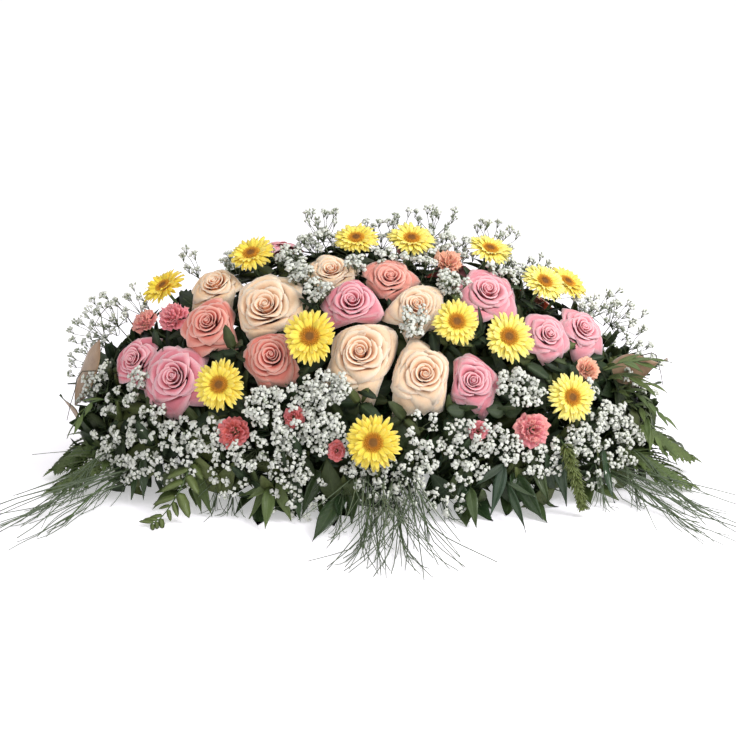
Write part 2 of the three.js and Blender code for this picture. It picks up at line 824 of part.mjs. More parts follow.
// Bed foliage: a straight branch from a bunch's main stem that ends in a tuft, a little off the place given
// for it. Each leaf is as long as the room lets it be.
function growBed(node, [across, lean], [length, width]) {
  const { root, end, pieces } = bunches.get(node);
  const atRim = Math.abs(lean) > bedRimLean;
  const { count, start, spread, forward } = atRim ? rimTuft : bedTuft;
  const fellows = pieces.slice(1);
  const fits = (piece) => isClear(piece, node) && !fellows.some((fellow) => crosses(piece, fellow));
  for (let attempt = 0; attempt < 5 * tries; attempt++) {
    const loose = 3 + 0.3 * attempt;
    const { point, slope } = onMound(
      across + draw(-loose, loose),
      lean + 0.25 * draw(-loose, loose),
      -bedDepth - draw(0, 10),
    );
    point.z = Math.max(point.z, bedLow);
    const from = end.clone().lerp(root, draw(0.02, 0.4));
    const outward = point.clone().sub(from).normalize().add(slope).normalize();
    const sideways = outward.clone().cross(up);
    const matrix = placeAcross(point, atRim ? sideways.clone().cross(outward) : sideways, outward);
    const clearPart = rod(from.clone().lerp(point, 0.2), point, bedStemRadius, bedStemRadius, stemSides);
    if (!fits(clearPart)) continue;
    const leaves = [];
    for (let k = 0; k < count; k++) {
      const angle = start + spread * k + draw(-0.08, 0.08);
      const sizes = bedSizes.map((share) => ({ angle, length: share * length, width: share * width }));
      leaves.push(...sizes.filter((leaf) => fits(leafBlank(leaf, forward, matrix))).slice(0, 1));
    }
    if (leaves.length < fewestBedLeaves) continue;
    const foot = from.clone().applyMatrix4(matrix.clone().invert());
    const solid = solidOf(tuft(leaves, foot, forward).applyMatrix4(matrix));
    if (!isClear(solid, node)) continue;
    pieces.push(solid);
    return;
  }
}

// A fern frond: a rib with narrow leaflets, which are staggered from side to side, on one arched blade.
function frond(length, width, leaflets, arch) {
  const corners = [];
  const faces = [];
  const ribs = 2 * leaflets + 1;
  for (let k = 0; k <= ribs; k++) {
    const t = k / ribs;
    const half = 0.9 * (1 - 0.4 * t);
    const drop = -arch * length * t * t;
    corners.push(0, t * length, drop + half, 0, t * length, drop - half);
  }
  const over = (k) => 2 * k;
  const under = (k) => 2 * k + 1;
  const leaflet = (first, side) => {
    const t = (first + 1) / ribs;
    const reach = (width / 2) * Math.sin(Math.PI * (0.2 + 0.74 * t));
    const drop = -arch * length * t * t;
    corners.push(side * reach, Math.min(t * length + 0.35 * reach, 0.99 * length), drop - 0.16 * reach);
    const tip = corners.length / 3 - 1;
    const [a, b, c] = [first, first + 1, first + 2];
    const made = [
      [over(a), over(b), tip], [over(b), over(c), tip], [under(b), under(a), tip],
      [under(c), under(b), tip], [under(a), over(a), tip], [over(c), under(c), tip],
    ];
    made.forEach(([p, q, r]) => faces.push(...(side < 0 ? [p, q, r] : [q, p, r])));
  };
  for (let k = 0; k < leaflets; k++) {
    leaflet(2 * k, -1);
    leaflet(2 * k + 1, 1);
  }
  faces.push(over(0), under(0), under(1), over(0), under(1), over(1));
  faces.push(under(ribs - 1), over(ribs - 1), over(ribs), under(ribs - 1), over(ribs), under(ribs));
  return shapeOf(corners, faces);
}

function fernFrond(from, [bend, start, tip, width]) {
  const made = clearStem(from, [bend, start], branchRadius, 3);
  if (!made) return [];
  const base = made.at(0.96).point;
  const toTip = new THREE.Vector3(...tip).sub(base);
  const length = toTip.length();
  return [made.solid, ...grown((attempt) => {
    const direction = toTip.clone().addScaledVector(up, (0.12 + 0.03 * attempt) * length);
    direction.x += draw(-2, 2) * attempt;
    const size = 1 - 0.03 * attempt;
    return laid(frond(length * size, width * size, 5, 0.14), base, direction);
  })];
}

// Long thin needles, each drawn out of a facet of a slim stem and swept towards its tip.
function needleStem(from, route, fellows, { length, splay, bareSteps, needledSteps }) {
  const steps = bareSteps + needledSteps;
  const made = clearStem(from, route, branchRadius, steps);
  if (!made) return [];
  const facets = made.geometry.attributes.position;
  const [a, b, c] = [new THREE.Vector3(), new THREE.Vector3(), new THREE.Vector3()];
  const corners = [];
  for (let i = 0; i < facets.count; i += 3) {
    a.fromBufferAttribute(facets, i);
    b.fromBufferAttribute(facets, i + 1);
    c.fromBufferAttribute(facets, i + 2);
    const outward = b.clone().sub(a).cross(c.clone().sub(a)).normalize();
    const middle = a.clone().add(b).add(c).divideScalar(3);
    const step = made.nearest(middle);
    const { along } = made.at((step + 0.5) / steps);
    const bare = step < bareSteps || Math.abs(outward.dot(along)) > 0.8 || (i / 3) % 2;
    const tip = bare ? null : needleTip(middle, along, outward, { length, splay, fellows });
    if (!tip) {
      corners.push(...a.toArray(), ...b.toArray(), ...c.toArray());
      continue;
    }
    for (const [near, far] of [[a, b], [b, c], [c, a]]) {
      corners.push(...near.toArray(), ...far.toArray(), ...tip.toArray());
    }
  }
  const geometry = new THREE.BufferGeometry();
  geometry.setAttribute("position", new THREE.Float32BufferAttribute(corners, 3));
  return [solidOf(geometry)];
}

function needleTip(middle, along, outward, { length, splay, fellows }) {
  let tip;
  const [needle] = grown((attempt) => {
    const direction = along.clone().addScaledVector(outward, splay * (1 - 0.03 * attempt)).normalize();
    tip = middle.clone().addScaledVector(direction, length * draw(0.8, 1.15) * (1 - 0.04 * attempt));
    tip.z = Math.max(tip.z, 2);
    return rod(middle, tip, 1.6, 0.4, stemSides);
  }, fellows);
  return needle ? tip : null;
}

// A head of baby's breath on its twig: a small solid with a floret raised from each face but the one that
// faces the twig's root, where the twig grows out.
function breathSprig(head, root, radius) {
  const back = root.clone().sub(head).normalize();
  const core = new THREE.OctahedronGeometry(0.62 * radius);
  const corners = core.attributes.position;
  const made = [];
  const fan = (ring, tip) => ring.forEach((from, k) => made.push(from, ring[(k + 1) % ring.length], tip));
  const faces = [];
  for (let i = 0; i < corners.count; i += 3) {
    faces.push([0, 1, 2].map((k) => new THREE.Vector3().fromBufferAttribute(corners, i + k)));
  }
  const middleOf = (face) => face[0].clone().add(face[1]).add(face[2]).divideScalar(3);
  const turned = new THREE.Quaternion().setFromUnitVectors(middleOf(faces[0]).normalize(), back);
  faces.forEach((face) => face.forEach((corner) => corner.applyQuaternion(turned).add(head)));
  faces.slice(1).forEach((face) => {
    const tip = middleOf(face).sub(head).setLength(radius).add(head);
    fan(face, tip);
  });
  const [twigFace] = faces;
  const middle = middleOf(twigFace);
  const end = twigFace.map((corner) => (
    root.clone().addScaledVector(corner.clone().sub(middle).normalize(), 0.6)
  ));
  twigFace.forEach((from, k) => {
    const next = (k + 1) % 3;
    made.push(from, twigFace[next], end[next], from, end[next], end[k]);
  });
  made.push(...end);
  const geometry = new THREE.BufferGeometry();
  geometry.setFromPoints(made);
  return solidOf(geometry);
}

// One patch of baby's breath: a branch, with a few heads on twigs from its outer half.
function breathPatch(from, [across, lean, lift, spread, heads], fellows) {
  const spreadLean = THREE.MathUtils.radToDeg(spread / moundHeight);
  for (let attempt = 0; attempt < 5 * tries; attempt++) {
    const loose = 0.3 + 0.02 * attempt;
    const forkAcross = (across + draw(-loose, loose) * spread) * (1 - 0.002 * attempt);
    const forkLean = lean + draw(-loose, loose) * spreadLean;
    const fork = onMound(forkAcross, forkLean, Math.min(lift, 6) - 30 - draw(0, 0.6) * attempt).point;
    fork.z = Math.max(fork.z, 10);
    const branch = rod(from, fork, 1.4, branchRadius, stemSides);
    if (!isClear(branch)) continue;
    const sprigs = [];
    for (let k = 0; k < heads; k++) {
      const root = from.clone().lerp(fork, 0.98 - 0.12 * k);
      sprigs.push(...grown(() => {
        const radius = (breathHead / 2) * draw(0.8, 1.15);
        const place = onMound(
          across + draw(-1, 1) * spread,
          lean + draw(-1, 1) * spreadLean,
          lift - radius + draw(-8, 8),
        );
        place.point.z = Math.max(place.point.z, radius + 2);
        return breathSprig(place.point, root, radius);
      }, [...fellows, ...sprigs]));
    }
    if (sprigs.length) return [branch, ...sprigs];
  }
  return [];
}

// The saddle: a long tray with a flat underside, feet to the sides and three hoops over the foam.
function block(lowX, highX, lowY, highY, lowZ, highZ) {
  const geometry = new THREE.BoxGeometry(highX - lowX, highY - lowY, highZ - lowZ);
  geometry.translate((lowX + highX) / 2, (lowY + highY) / 2, (lowZ + highZ) / 2);
  return solidOf(geometry);
}

const innerX = foamLength / 2 + gap;
const innerY = foamDepth / 2 + gap;
const outerX = innerX + saddleWall;
const outerY = innerY + saddleWall;
const foamBottom = saddleFloor + gap;
const foamTop = foamBottom + foamHeight;

function saddle() {
  const shell = block(-outerX, outerX, -outerY, outerY, 0, saddleSide);
  const inside = block(-innerX, innerX, -innerY, innerY, saddleFloor, saddleSide + 1);
  const pieces = [shell.subtract(inside)];
  for (const place of hoopPlaces) {
    const [near, far] = [place - hoopWidth / 2, place + hoopWidth / 2];
    const hoopTop = foamTop + gap;
    const hoop = block(near, far, -outerY, outerY, saddleFloor / 2, hoopTop + saddleWall);
    pieces.push(hoop.subtract(block(near - 1, far + 1, -innerY, innerY, saddleFloor, hoopTop)));
  }
  for (const x of [-outerX + footLength, outerX - footLength]) {
    const half = footLength / 2;
    pieces.push(block(x - half, x + half, -outerY - footReach, outerY + footReach, 0, saddleFloor));
  }
  return joined(pieces);
}

function foam() {
  const halfX = foamLength / 2;
  const halfY = foamDepth / 2;
  return block(-halfX, halfX, -halfY, halfY, foamBottom, foamTop).subtract(joined(foamHoles));
}

addNode("saddle", saddle(), "#2f4a33", 0.5);

for (const [node, routes] of Object.entries(magnoliaRoutes)) {
  growBunch(node, leafBack, routes, (from, route) => leafyStem(from, route, {
    leaves: 3, length: 92, width: 50, rows: 2, first: 0.72,
  }));
}
for (const [node, routes] of Object.entries(needleRoutes)) {
  growBunch(node, needleGreen, routes, (from, route, fellows) => needleStem(from, route, fellows, {
    length: 72, splay: 0.55, bareSteps: 4, needledSteps: 8,
  }));
}
for (const [node, fronds] of Object.entries(fernFronds)) {
  growBunch(node, leafGreen, fronds, fernFrond);
}
for (const [node, routes] of Object.entries(leafRoutes)) {
  growBunch(node, darkGreen, routes, (from, [bend, tip, leaves, length, width, rows]) => (
    leafyStem(from, [bend, tip], { leaves, length, width, rows, first: 0.4 })
  ));
}
for (const [node, patches] of Object.entries(breathPatches)) {
  growBunch(node, floretWhite, patches, breathPatch);
}
for (const [node, places] of Object.entries(bedPlaces)) {
  const leaf = node.startsWith("magnolia") ? largeBedLeaf : bedLeaf;
  for (const place of places) {
    growBed(node, place, leaf);
    stand(node, joined(bunches.get(node).pieces));
  }
}
for (const [node, { color, pieces }] of bunches) {
  addNode(node, joined(pieces).simplify(sliver), color, 0.75);
}
addNode("foam", foam(), "#4f7a4a", 0.95);

export default spray;
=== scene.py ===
"""Casket spray: petals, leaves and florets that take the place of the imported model's plain solids.

Shapes are made in millimetres and written in metres. The front faces -Y and the lid or table is at Z = 0.
"""

import math
import random

import bmesh
import bpy
import numpy as np
from bpy.props import FloatProperty, FloatVectorProperty, IntProperty, PointerProperty
from mathutils import Matrix, Vector


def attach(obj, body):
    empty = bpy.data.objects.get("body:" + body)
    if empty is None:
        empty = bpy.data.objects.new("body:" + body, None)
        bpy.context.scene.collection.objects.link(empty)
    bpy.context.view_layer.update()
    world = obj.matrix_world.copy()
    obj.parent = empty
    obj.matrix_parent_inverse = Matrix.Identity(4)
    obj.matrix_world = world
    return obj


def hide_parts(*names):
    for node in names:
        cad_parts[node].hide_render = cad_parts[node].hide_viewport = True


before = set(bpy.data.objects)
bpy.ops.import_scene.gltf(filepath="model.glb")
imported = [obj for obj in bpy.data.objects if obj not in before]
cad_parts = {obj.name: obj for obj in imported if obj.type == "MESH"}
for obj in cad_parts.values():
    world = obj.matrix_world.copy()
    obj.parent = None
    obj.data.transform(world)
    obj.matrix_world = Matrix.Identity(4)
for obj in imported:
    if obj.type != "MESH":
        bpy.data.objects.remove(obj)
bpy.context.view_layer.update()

bl_info = {
    "name": "Casket Spray",
    "version": (1, 0, 0),
    "blender": (4, 5, 0),
    "location": "3D View > Sidebar > Spray",
    "description": "Petals, leaves and florets of a casket spray round its packed model",
    "category": "Add Mesh",
}

METRES = 0.001
UP = Vector((0, 0, 1))

# The mound that the faces of the blooms lie on, and how blooms turn on it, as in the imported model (mm)
MOUND = Vector((416, 253, 312))
TURN_TO_VIEWER = 0.4
VIEWER_HEIGHT = 0.36
NEIGHBOUR_GAP = 0.4

# Kinds of bloom: depth, height over the mound (mm), heart, stem radius (mm). Depth and heart are shares of
# the bloom's radius.
KINDS = {
    "rose": (0.95, 0, 0.4, 2.6),
    "gerbera": (0.34, 11, 0.04, 2.4),
    "carnation": (1.1, 0, 0.4, 1.6),
}

# Blooms: across (mm), lean from upright towards the front (degrees), width (mm), paleness
# The paleness is partly each bloom's own colour and partly painted light: blooms on the right are given paler
# values, as if lit from there.
CREAM_ROSES = [
    (-8, 49, 90, 0.7), (68, 54, 82, 0.7), (-132, 32, 84, 0.5), (-202, 15, 62, 0.15), (-48, 21, 58, 0.5),
    (63, 35, 68, 0.75), (-46, -44, 76, 0.5),
]
PINK_ROSES = [
    (-20, 34, 68, 0.45), (156, 25, 70, 0.8), (131, 55, 62, 0.6), (-250, 50, 76, 0.35), (-306, 36, 56, 0.15),
    (284, 25, 60, 0.9), (231, 36, 54, 0.85), (-128, -8, 58, 0.3), (128, -40, 70, 0.6), (-250, -36, 66, 0.4),
]
CORAL_ROSES = [(-205, 34, 68, 0.25), (-122, 49, 68, 0.15), (28, 25, 58, 0.8), (228, -42, 66, 0.5)]
GERBERAS = [
    (-268, 4, 64, 0.0), (-150, 10, 66, 0.25), (-15, 10, 62, 0.5), (56, 9, 66, 0.7), (159, 4, 64, 0.9),
    (262, 2, 62, 0.5), (226, 15, 64, 1.0), (108, 41, 66, 0.6), (172, 43, 70, 0.8), (-70, 46, 74, 0.25),
    (-180, 56, 68, 0.3), (250, 57, 66, 0.8), (6, 71, 72, 0.2), (-140, -52, 66, 0.4), (42, -60, 68, 0.5),
    (180, -64, 66, 0.6),
]
# Carnations have a tone as well, from 0 coral over 0.5 pink to 1 peach
CARNATIONS = {
    "carnations_left": [(-257, 24, 42, 0.35), (-300, 15, 36, 0.6)],
    "carnations_front": [(-166, 68, 40, 0.0), (-92, 65, 26, 0.05), (-38, 73, 24, 0.1)],
    "carnations_right": [(206, 67, 42, 0.45), (284, 44, 32, 0.9), (136, 68, 24, 0.3)],
    "carnations_back": [(106, 14, 38, 0.9), (60, -26, 40, 0.4)],
}

# Main stems of the bunches, from the root in the foam to the outer end (mm)
MAIN_STEMS = {
    "magnolia_left": ((-200, 26, 38), (-262, 40, 42)),
    "magnolia_right": ((200, 26, 38), (262, 40, 42)),
    "needle_spray_left": ((-200, -25, 40), (-268, -52, 42)),
    "needle_spray_right": ((200, -25, 40), (268, -52, 42)),
    "needle_spray_front": ((14, -22, 40), (16, -92, 40)),
    "fern_left": ((-200, 4, 56), (-266, 4, 60)),
    "fern_right": ((200, 4, 56), (266, 4, 60)),
    "fern_back": ((20, 22, 40), (22, 90, 42)),
    "leafy_stems_front_left": ((-112, -22, 40), (-122, -92, 38)),
    "leafy_stems_front_right": ((108, -22, 40), (120, -92, 38)),
    "leafy_stems_back": ((-90, 22, 40), (-98, 90, 38)),
    "babys_breath_front_left": ((-78, -24, 58), (-88, -88, 72)),
    "babys_breath_front_right": ((76, -24, 58), (86, -88, 72)),
    "babys_breath_left": ((-206, -8, 70), (-262, -14, 88)),
    "babys_breath_right": ((206, -8, 70), (262, -14, 88)),
    "babys_breath_top": ((30, 6, 60), (34, 10, 124)),
    "babys_breath_back": ((84, 24, 58), (92, 88, 72)),
}
# Where branches leave a main stem, as shares of its length back from its outer end
FORK_START = 0.03
FORK_SPREAD = 0.4

# Places that each branch passes, the last one its end (mm)
MAGNOLIA_ROUTES = {
    "magnolia_left": [((-300, 22, 92), (-338, -6, 104)), ((-296, 60, 50), (-330, 84, 56))],
    "magnolia_right": [((300, 22, 92), (330, -2, 112)), ((296, 60, 50), (330, 84, 56))],
}
NEEDLE_ROUTES = {
    "needle_spray_left": [
        ((-320, -90, 40), (-370, -150, 26), (-404, -214, 7)),
        ((-300, -120, 34), (-345, -195, 20), (-370, -258, 6)),
    ],
    "needle_spray_right": [
        ((320, -90, 40), (372, -148, 26), (408, -206, 7)),
        ((300, -120, 34), (352, -188, 20), (382, -244, 6)),
    ],
    "needle_spray_front": [
        ((12, -160, 40), (4, -260, 36), (-6, -345, 6)),
        ((24, -160, 36), (34, -255, 32), (42, -350, 6)),
    ],
}
# Fern fronds: the stalk's bend, where the frond starts, its tip, its width (mm)
FERN_FRONDS = {
    "fern_left": [
        ((-270, -10, 66), (-312, -40, 66), (-420, -84, 14), 92),
        ((-268, -36, 54), (-304, -84, 44), (-408, -154, 10), 84),
        ((-268, 24, 58), (-304, 50, 54), (-398, 96, 10), 76),
    ],
    "fern_right": [
        ((270, -10, 66), (316, -34, 70), (436, -62, 24), 92),
        ((268, -36, 54), (308, -78, 44), (420, -134, 10), 84),
        ((268, 24, 58), (304, 50, 54), (402, 90, 10), 76),
    ],
    "fern_back": [
        ((-20, 110, 40), (-70, 170, 40), (-130, 290, 8), 84),
        ((22, 120, 40), (22, 180, 44), (14, 310, 8), 84),
        ((70, 110, 40), (120, 160, 40), (180, 276, 8), 84),
    ],
}
# Leafy stems: bend, end, leaves, leaf length, leaf width (mm)
LEAF_ROUTES = {
    "leafy_stems_front_left": [
        ((-128, -140, 34), (-132, -206, 14), 8, 66, 26),
        ((-80, -140, 32), (-58, -200, 14), 8, 66, 26),
        ((-178, -120, 34), (-240, -176, 16), 9, 46, 22),
    ],
    "leafy_stems_front_right": [
        ((116, -140, 34), (118, -206, 14), 8, 66, 26),
        ((164, -130, 34), (196, -196, 14), 8, 66, 26),
        ((220, -100, 36), (290, -158, 16), 9, 46, 22),
    ],
    "leafy_stems_back": [
        ((-150, 120, 36), (-230, 170, 16), 9, 50, 22),
        ((-100, 150, 34), (-104, 214, 14), 8, 66, 26),
        ((20, 105, 22), (110, 200, 14), 8, 66, 26),
    ],
}
# Leaves that hang from the front lip: base, tip, width (mm), which finish
LIP_LEAVES = {
    "leafy_stems_front_left": [
        ((-121, -228, 42), (-124, -283, 6), 20, "olive"),
        ((-124, -224, 40), (-146, -250, 6), 16, "olive"),
        ((-114, -226, 44), (-94, -258, 6), 18, "olive"),
        ((-93, -214, 52), (-83, -256, 6), 22, "glossy"),
        ((-33, -240, 34), (-66, -315, 3), 28, "glossy"),
        ((-16, -220, 54), (-20, -266, 6), 25, "glossy"),
        ((-298, -158, 55), (-301, -186, 8), 18, "glossy"),
        ((-286, -164, 62), (-284, -196, 12), 16, "glossy"),
        ((-220, -194, 55), (-195, -232, 6), 18, "olive"),
        ((-225, -190, 50), (-208, -226, 5), 16, "olive"),
        ((-59, -214, 56), (-82, -238, 6), 20, "glossy"),
    ],
    "leafy_stems_front_right": [
        ((126, -224, 40), (131, -276, 5), 18, "glossy"),
        ((117, -222, 46), (114, -252, 8), 15, "glossy"),
        ((170, -214, 66), (151, -248, 10), 19, "pale"),
        ((171, -218, 44), (190, -284, 3), 13, "pale"),
        ((182, -210, 52), (214, -252, 6), 28, "glossy"),
        ((205, -196, 74), (226, -226, 14), 18, "glossy"),
        ((236, -186, 76), (248, -220, 12), 20, "pale"),
        ((300, -160, 70), (312, -196, 8), 15, "glossy"),
        ((-4, -218, 56), (-28, -246, 8), 20, "glossy"),
    ],
}

# Baby's breath patches: across (mm), lean (degrees), height over the mound, spread (mm), clumps, florets in
# a clump, clump radius (mm)
BREATH_PATCHES = {
    "babys_breath_front_left": [
        (-127, 62, 3, 25, 13, 9, 8), (-71, 60, 3, 25, 13, 9, 8), (-47, 58, 3, 20, 10, 9, 8),
        (-96, 68, 3, 22, 10, 9, 8), (-59, 69, 2, 27, 14, 9, 8), (-145, 73, 2, 24, 9, 8, 8),
        (-96, 77, 2, 24, 12, 8, 8), (-18, 74, 1, 22, 7, 7, 7), (-276, 64, 2, 30, 11, 8, 7),
        (-235, 68, 2, 26, 9, 8, 7), (-190, 70, 0, 30, 10, 7, 7), (-176, 80, 0, 22, 5, 6, 7),
        (-240, 78, 0, 30, 8, 6, 7), (-290, 76, 0, 24, 8, 6, 7), (-80, 86, -2, 40, 8, 6, 7),
    ],
    "babys_breath_left": [
        (-320, 52, 2, 28, 8, 8, 7), (-326, 66, 2, 27, 8, 8, 7), (-292, 47, 3, 13, 4, 9, 8),
        (-312, 78, 1, 24, 7, 7, 7), (-350, 4, 36, 25, 12, 6, 7), (-330, 8, 36, 20, 9, 6, 7),
        (-372, 2, 20, 20, 9, 6, 7), (-306, 6, 26, 14, 5, 6, 7), (-350, -40, 4, 28, 9, 7, 8),
        (-362, 34, 6, 26, 10, 7, 8), (-350, 76, 0, 20, 6, 6, 7),
    ],
    "babys_breath_front_right": [
        (2, 78, 3, 22, 8, 8, 8), (45, 79, 3, 25, 9, 8, 8), (27, 84, 2, 24, 7, 7, 7),
        (30, 84, 14, 26, 8, 7, 7), (76, 74, 2, 17, 6, 8, 7), (113, 70, 2, 24, 9, 8, 8),
        (150, 70, 2, 21, 8, 8, 8), (66, 68, 0, 20, 4, 7, 7), (125, 77, 2, 18, 6, 8, 7),
        (182, 73, 2, 20, 6, 8, 8), (189, 56, 3, 27, 13, 9, 8), (96, 84, 0, 26, 6, 6, 7),
        (276, 69, 2, 26, 12, 8, 8), (241, 74, 2, 22, 7, 8, 8), (276, 52, 3, 16, 6, 8, 8),
        (216, 76, 0, 22, 6, 6, 7),
    ],
    "babys_breath_right": [
        (310, 59, 2, 25, 11, 8, 8), (340, 65, 2, 20, 8, 8, 8), (324, 75, 2, 18, 5, 7, 8),
        (300, 80, 0, 26, 6, 6, 7), (330, 0, 28, 24, 11, 6, 7), (358, 6, 20, 22, 9, 6, 7),
        (308, 4, 22, 14, 5, 6, 7), (344, -40, 4, 28, 9, 7, 8), (356, 36, 4, 20, 5, 7, 7),
    ],
    "babys_breath_top": [
        (-87, 22, 4, 17, 9, 9, 8), (-63, 31, 4, 14, 7, 9, 8), (57, 41, 5, 18, 9, 9, 8),
        (107, 26, 4, 17, 8, 9, 8), (207, 9, 4, 11, 4, 8, 8), (290, 6, 4, 16, 6, 7, 8),
        (-105, 12, 4, 16, 6, 8, 8), (-62, -3, 24, 26, 11, 6, 7), (88, -6, 30, 27, 12, 6, 7),
        (166, -6, 28, 25, 11, 6, 7), (40, -4, 22, 14, 5, 6, 7), (226, -3, 14, 17, 6, 6, 7),
        (-232, -2, 24, 9, 4, 7, 7), (126, 4, 8, 18, 6, 7, 7), (-182, 3, 6, 12, 4, 7, 7),
        (-70, 5, 9, 26, 10, 7, 7), (96, 5, 10, 24, 9, 7, 7), (-30, 0, 8, 20, 5, 7, 7),
        (-140, 6, 8, 14, 4, 7, 7), (180, -8, 10, 24, 7, 7, 7), (262, -10, 10, 20, 6, 6, 7),
        (20, -8, 10, 24, 6, 7, 7), (30, 16, 3, 22, 7, 8, 7), (-20, 20, 3, 16, 5, 8, 7),
        (76, 14, 3, 20, 6, 8, 7), (176, 16, 3, 20, 6, 8, 7),
    ],
    "babys_breath_back": [
        (-95, -66, 2, 34, 12, 9, 8), (-200, -60, 2, 30, 10, 9, 8), (10, -74, 2, 30, 11, 8, 8),
        (112, -66, 2, 30, 11, 9, 8), (240, -62, 2, 30, 10, 8, 8), (-290, -60, 2, 26, 8, 8, 8),
        (300, -66, 2, 24, 7, 8, 8), (-20, -26, 2, 20, 6, 8, 8), (200, -22, 2, 20, 6, 8, 8),
        (-190, -24, 2, 18, 5, 8, 8), (-30, -84, 2, 26, 7, 7, 8), (150, -82, 2, 26, 7, 7, 8),
    ],
}

# Bed foliage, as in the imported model: where its tufts of leaves stand, across (mm) and lean (degrees)
BED_PLACES = {
    "magnolia_left": [(-390, -20), (-376, -58), (-366, 24)],
    "magnolia_right": [(390, 14), (386, -30), (376, -64), (344, 38)],
    "leafy_stems_front_left": [(-330, 86), (-270, 86), (-192, 86), (-42, 86)],
    "leafy_stems_front_right": [(108, 86), (246, 86), (324, 86)],
    "leafy_stems_back": [
        (-324, -18), (-306, -44), (-290, -70), (-210, -14), (-225, -82), (-156, -30), (-160, -82), (-90, -26),
        (-84, -84), (-30, -18), (42, -42), (20, -88), (90, -12), (90, -84), (186, -20), (162, -82),
        (228, -84), (300, -24), (294, -46), (300, -70),
    ],
}
# The piece that carries the bed foliage of each part of the mound: lowest and highest across (mm) and lean
# (degrees), share of the twigs
BED_PARTS = {
    "magnolia_left": (-405, -340, -92, 92, 0.1),
    "magnolia_right": (340, 405, -92, 92, 0.1),
    "leafy_stems_front_left": (-340, 0, 8, 92, 0.24),
    "leafy_stems_front_right": (0, 340, 8, 92, 0.24),
    "leafy_stems_back": (-340, 340, -92, 8, 0.32),
}


def linear(colour):
    """An sRGB hex colour as linear red, green and blue."""
    shares = (int(colour[k:k + 2], 16) / 255 for k in (1, 3, 5))
    return tuple(c / 12.92 if c <= 0.04045 else ((c + 0.055) / 1.055) ** 2.4 for c in shares)


# Tints that the leaves, stems and petals are mixed with
OLD_LEAF = linear("#767e42")
VEIN_GREEN = linear("#95aa6f")
DRY_STEM = linear("#959976")
PALE_FELT = linear("#b39b7c")
LEMON = linear("#ffffda")
PALE_LEMON = linear("#ffffe7")


def colour_setting(name, default, description):
    """A colour that a user can change."""
    return FloatVectorProperty(
        name=name, description=description, subtype="COLOR", size=3, min=0, max=1, default=linear(default)
    )


def length_setting(name, default, description):
    """A length in metres that a user can change."""
    return FloatProperty(name=name, description=description, unit="LENGTH", min=0.0001, default=default)


class RoseSettings(bpy.types.PropertyGroup):
    """Colours and petals of the roses."""

    # The heart colours also give painted shade at the base of every petal; the rim colours give painted
    # highlight on the rims and painted light on the paler blooms.
    cream: colour_setting("Cream", "#edc39c", "Outer petals of the cream roses")
    cream_heart: colour_setting("Cream heart", "#eea06e", "Innermost petals of the cream roses")
    cream_rim: colour_setting("Cream rim", "#f8e3cd", "Rims of the cream petals")
    pink: colour_setting("Pink", "#d57280", "Outer petals of the pink roses")
    pink_heart: colour_setting("Pink heart", "#c9495e", "Innermost petals of the pink roses")
    pink_rim: colour_setting("Pink rim", "#f7c6cb", "Rims of the pink petals")
    coral: colour_setting("Coral", "#d6786a", "Outer petals of the coral roses")
    coral_heart: colour_setting("Coral heart", "#cb4f42", "Innermost petals of the coral roses")
    coral_rim: colour_setting("Coral rim", "#f4bdae", "Rims of the coral petals")
    thickness: length_setting("Petal thickness", 0.0005, "How thick a rose petal is")


class GerberaSettings(bpy.types.PropertyGroup):
    """Colours and petals of the gerberas."""

    petal: colour_setting("Petal", "#f6d340", "Main colour of a gerbera petal")
    # The pale petal is the lit copy of the petal colour: painted light on the gerberas to the right, besides
    # their own paler colour.
    pale_lit_petal: colour_setting("Pale petal", "#f8e878", "Petal of the palest gerberas")
    petal_root: colour_setting("Petal root", "#e3a737", "The petal where it meets the disc")
    disc: colour_setting("Disc", "#cf8b30", "Outer ring of the disc")
    eye: colour_setting("Eye", "#8f6434", "Middle of the disc")
    outer_petals: IntProperty(name="Outer petals", description="Petals in the outer row", min=8, default=27)
    inner_petals: IntProperty(name="Inner petals", description="Petals in each inner row", min=8, default=24)


class CarnationSettings(bpy.types.PropertyGroup):
    """Colours of the spray carnations."""

    coral: colour_setting("Coral", "#dd6a5f", "Carnations of tone 0")
    pink: colour_setting("Pink", "#ee919b", "Carnations of tone 0.5")
    peach: colour_setting("Peach", "#f2b296", "Carnations of tone 1")


class BreathSettings(bpy.types.PropertyGroup):
    """Florets of the baby's breath."""

    white: colour_setting("White", "#e6e7df", "The florets' petals")
    calyx: colour_setting("Calyx", "#7f8d6a", "The florets' green cups")
    twig: colour_setting("Twig", "#738060", "The thin stems")
    floret: length_setting("Floret width", 0.0068, "Width of an open floret")


class GreenerySettings(bpy.types.PropertyGroup):
    """Colours and numbers of the leaves."""

    glossy: colour_setting("Glossy leaf", "#21381f", "Pointed leaves of the front lip")
    olive: colour_setting("Olive leaf", "#4b5b30", "Younger leaves of the front lip")
    pale: colour_setting("Pale leaf", "#2a4031", "Greyer leaves of the front lip")
    bed: colour_setting("Bed leaf", "#22331c", "Dark leaves between the blooms")
    fern: colour_setting("Fern", "#4d5f33", "Fern fronds")
    needle: colour_setting("Needle", "#63735a", "Long needles")
    felt: colour_setting("Leaf underside", "#98785a", "Felted underside of the large leaves")
    stem: colour_setting("Stem", "#4a6336", "Flower stems")
    bark: colour_setting("Bark", "#4b4438", "Bare twigs at the ends")
    bed_twigs: IntProperty(name="Bed twigs", description="Leafy twigs under the blooms", min=10, default=310)


class HolderSettings(bpy.types.PropertyGroup):
    """Colours of the saddle and its foam."""

    plastic: colour_setting("Saddle", "#2f4a33", "The saddle's plastic")
    foam: colour_setting("Foam", "#3f6b3c", "The wet foam")


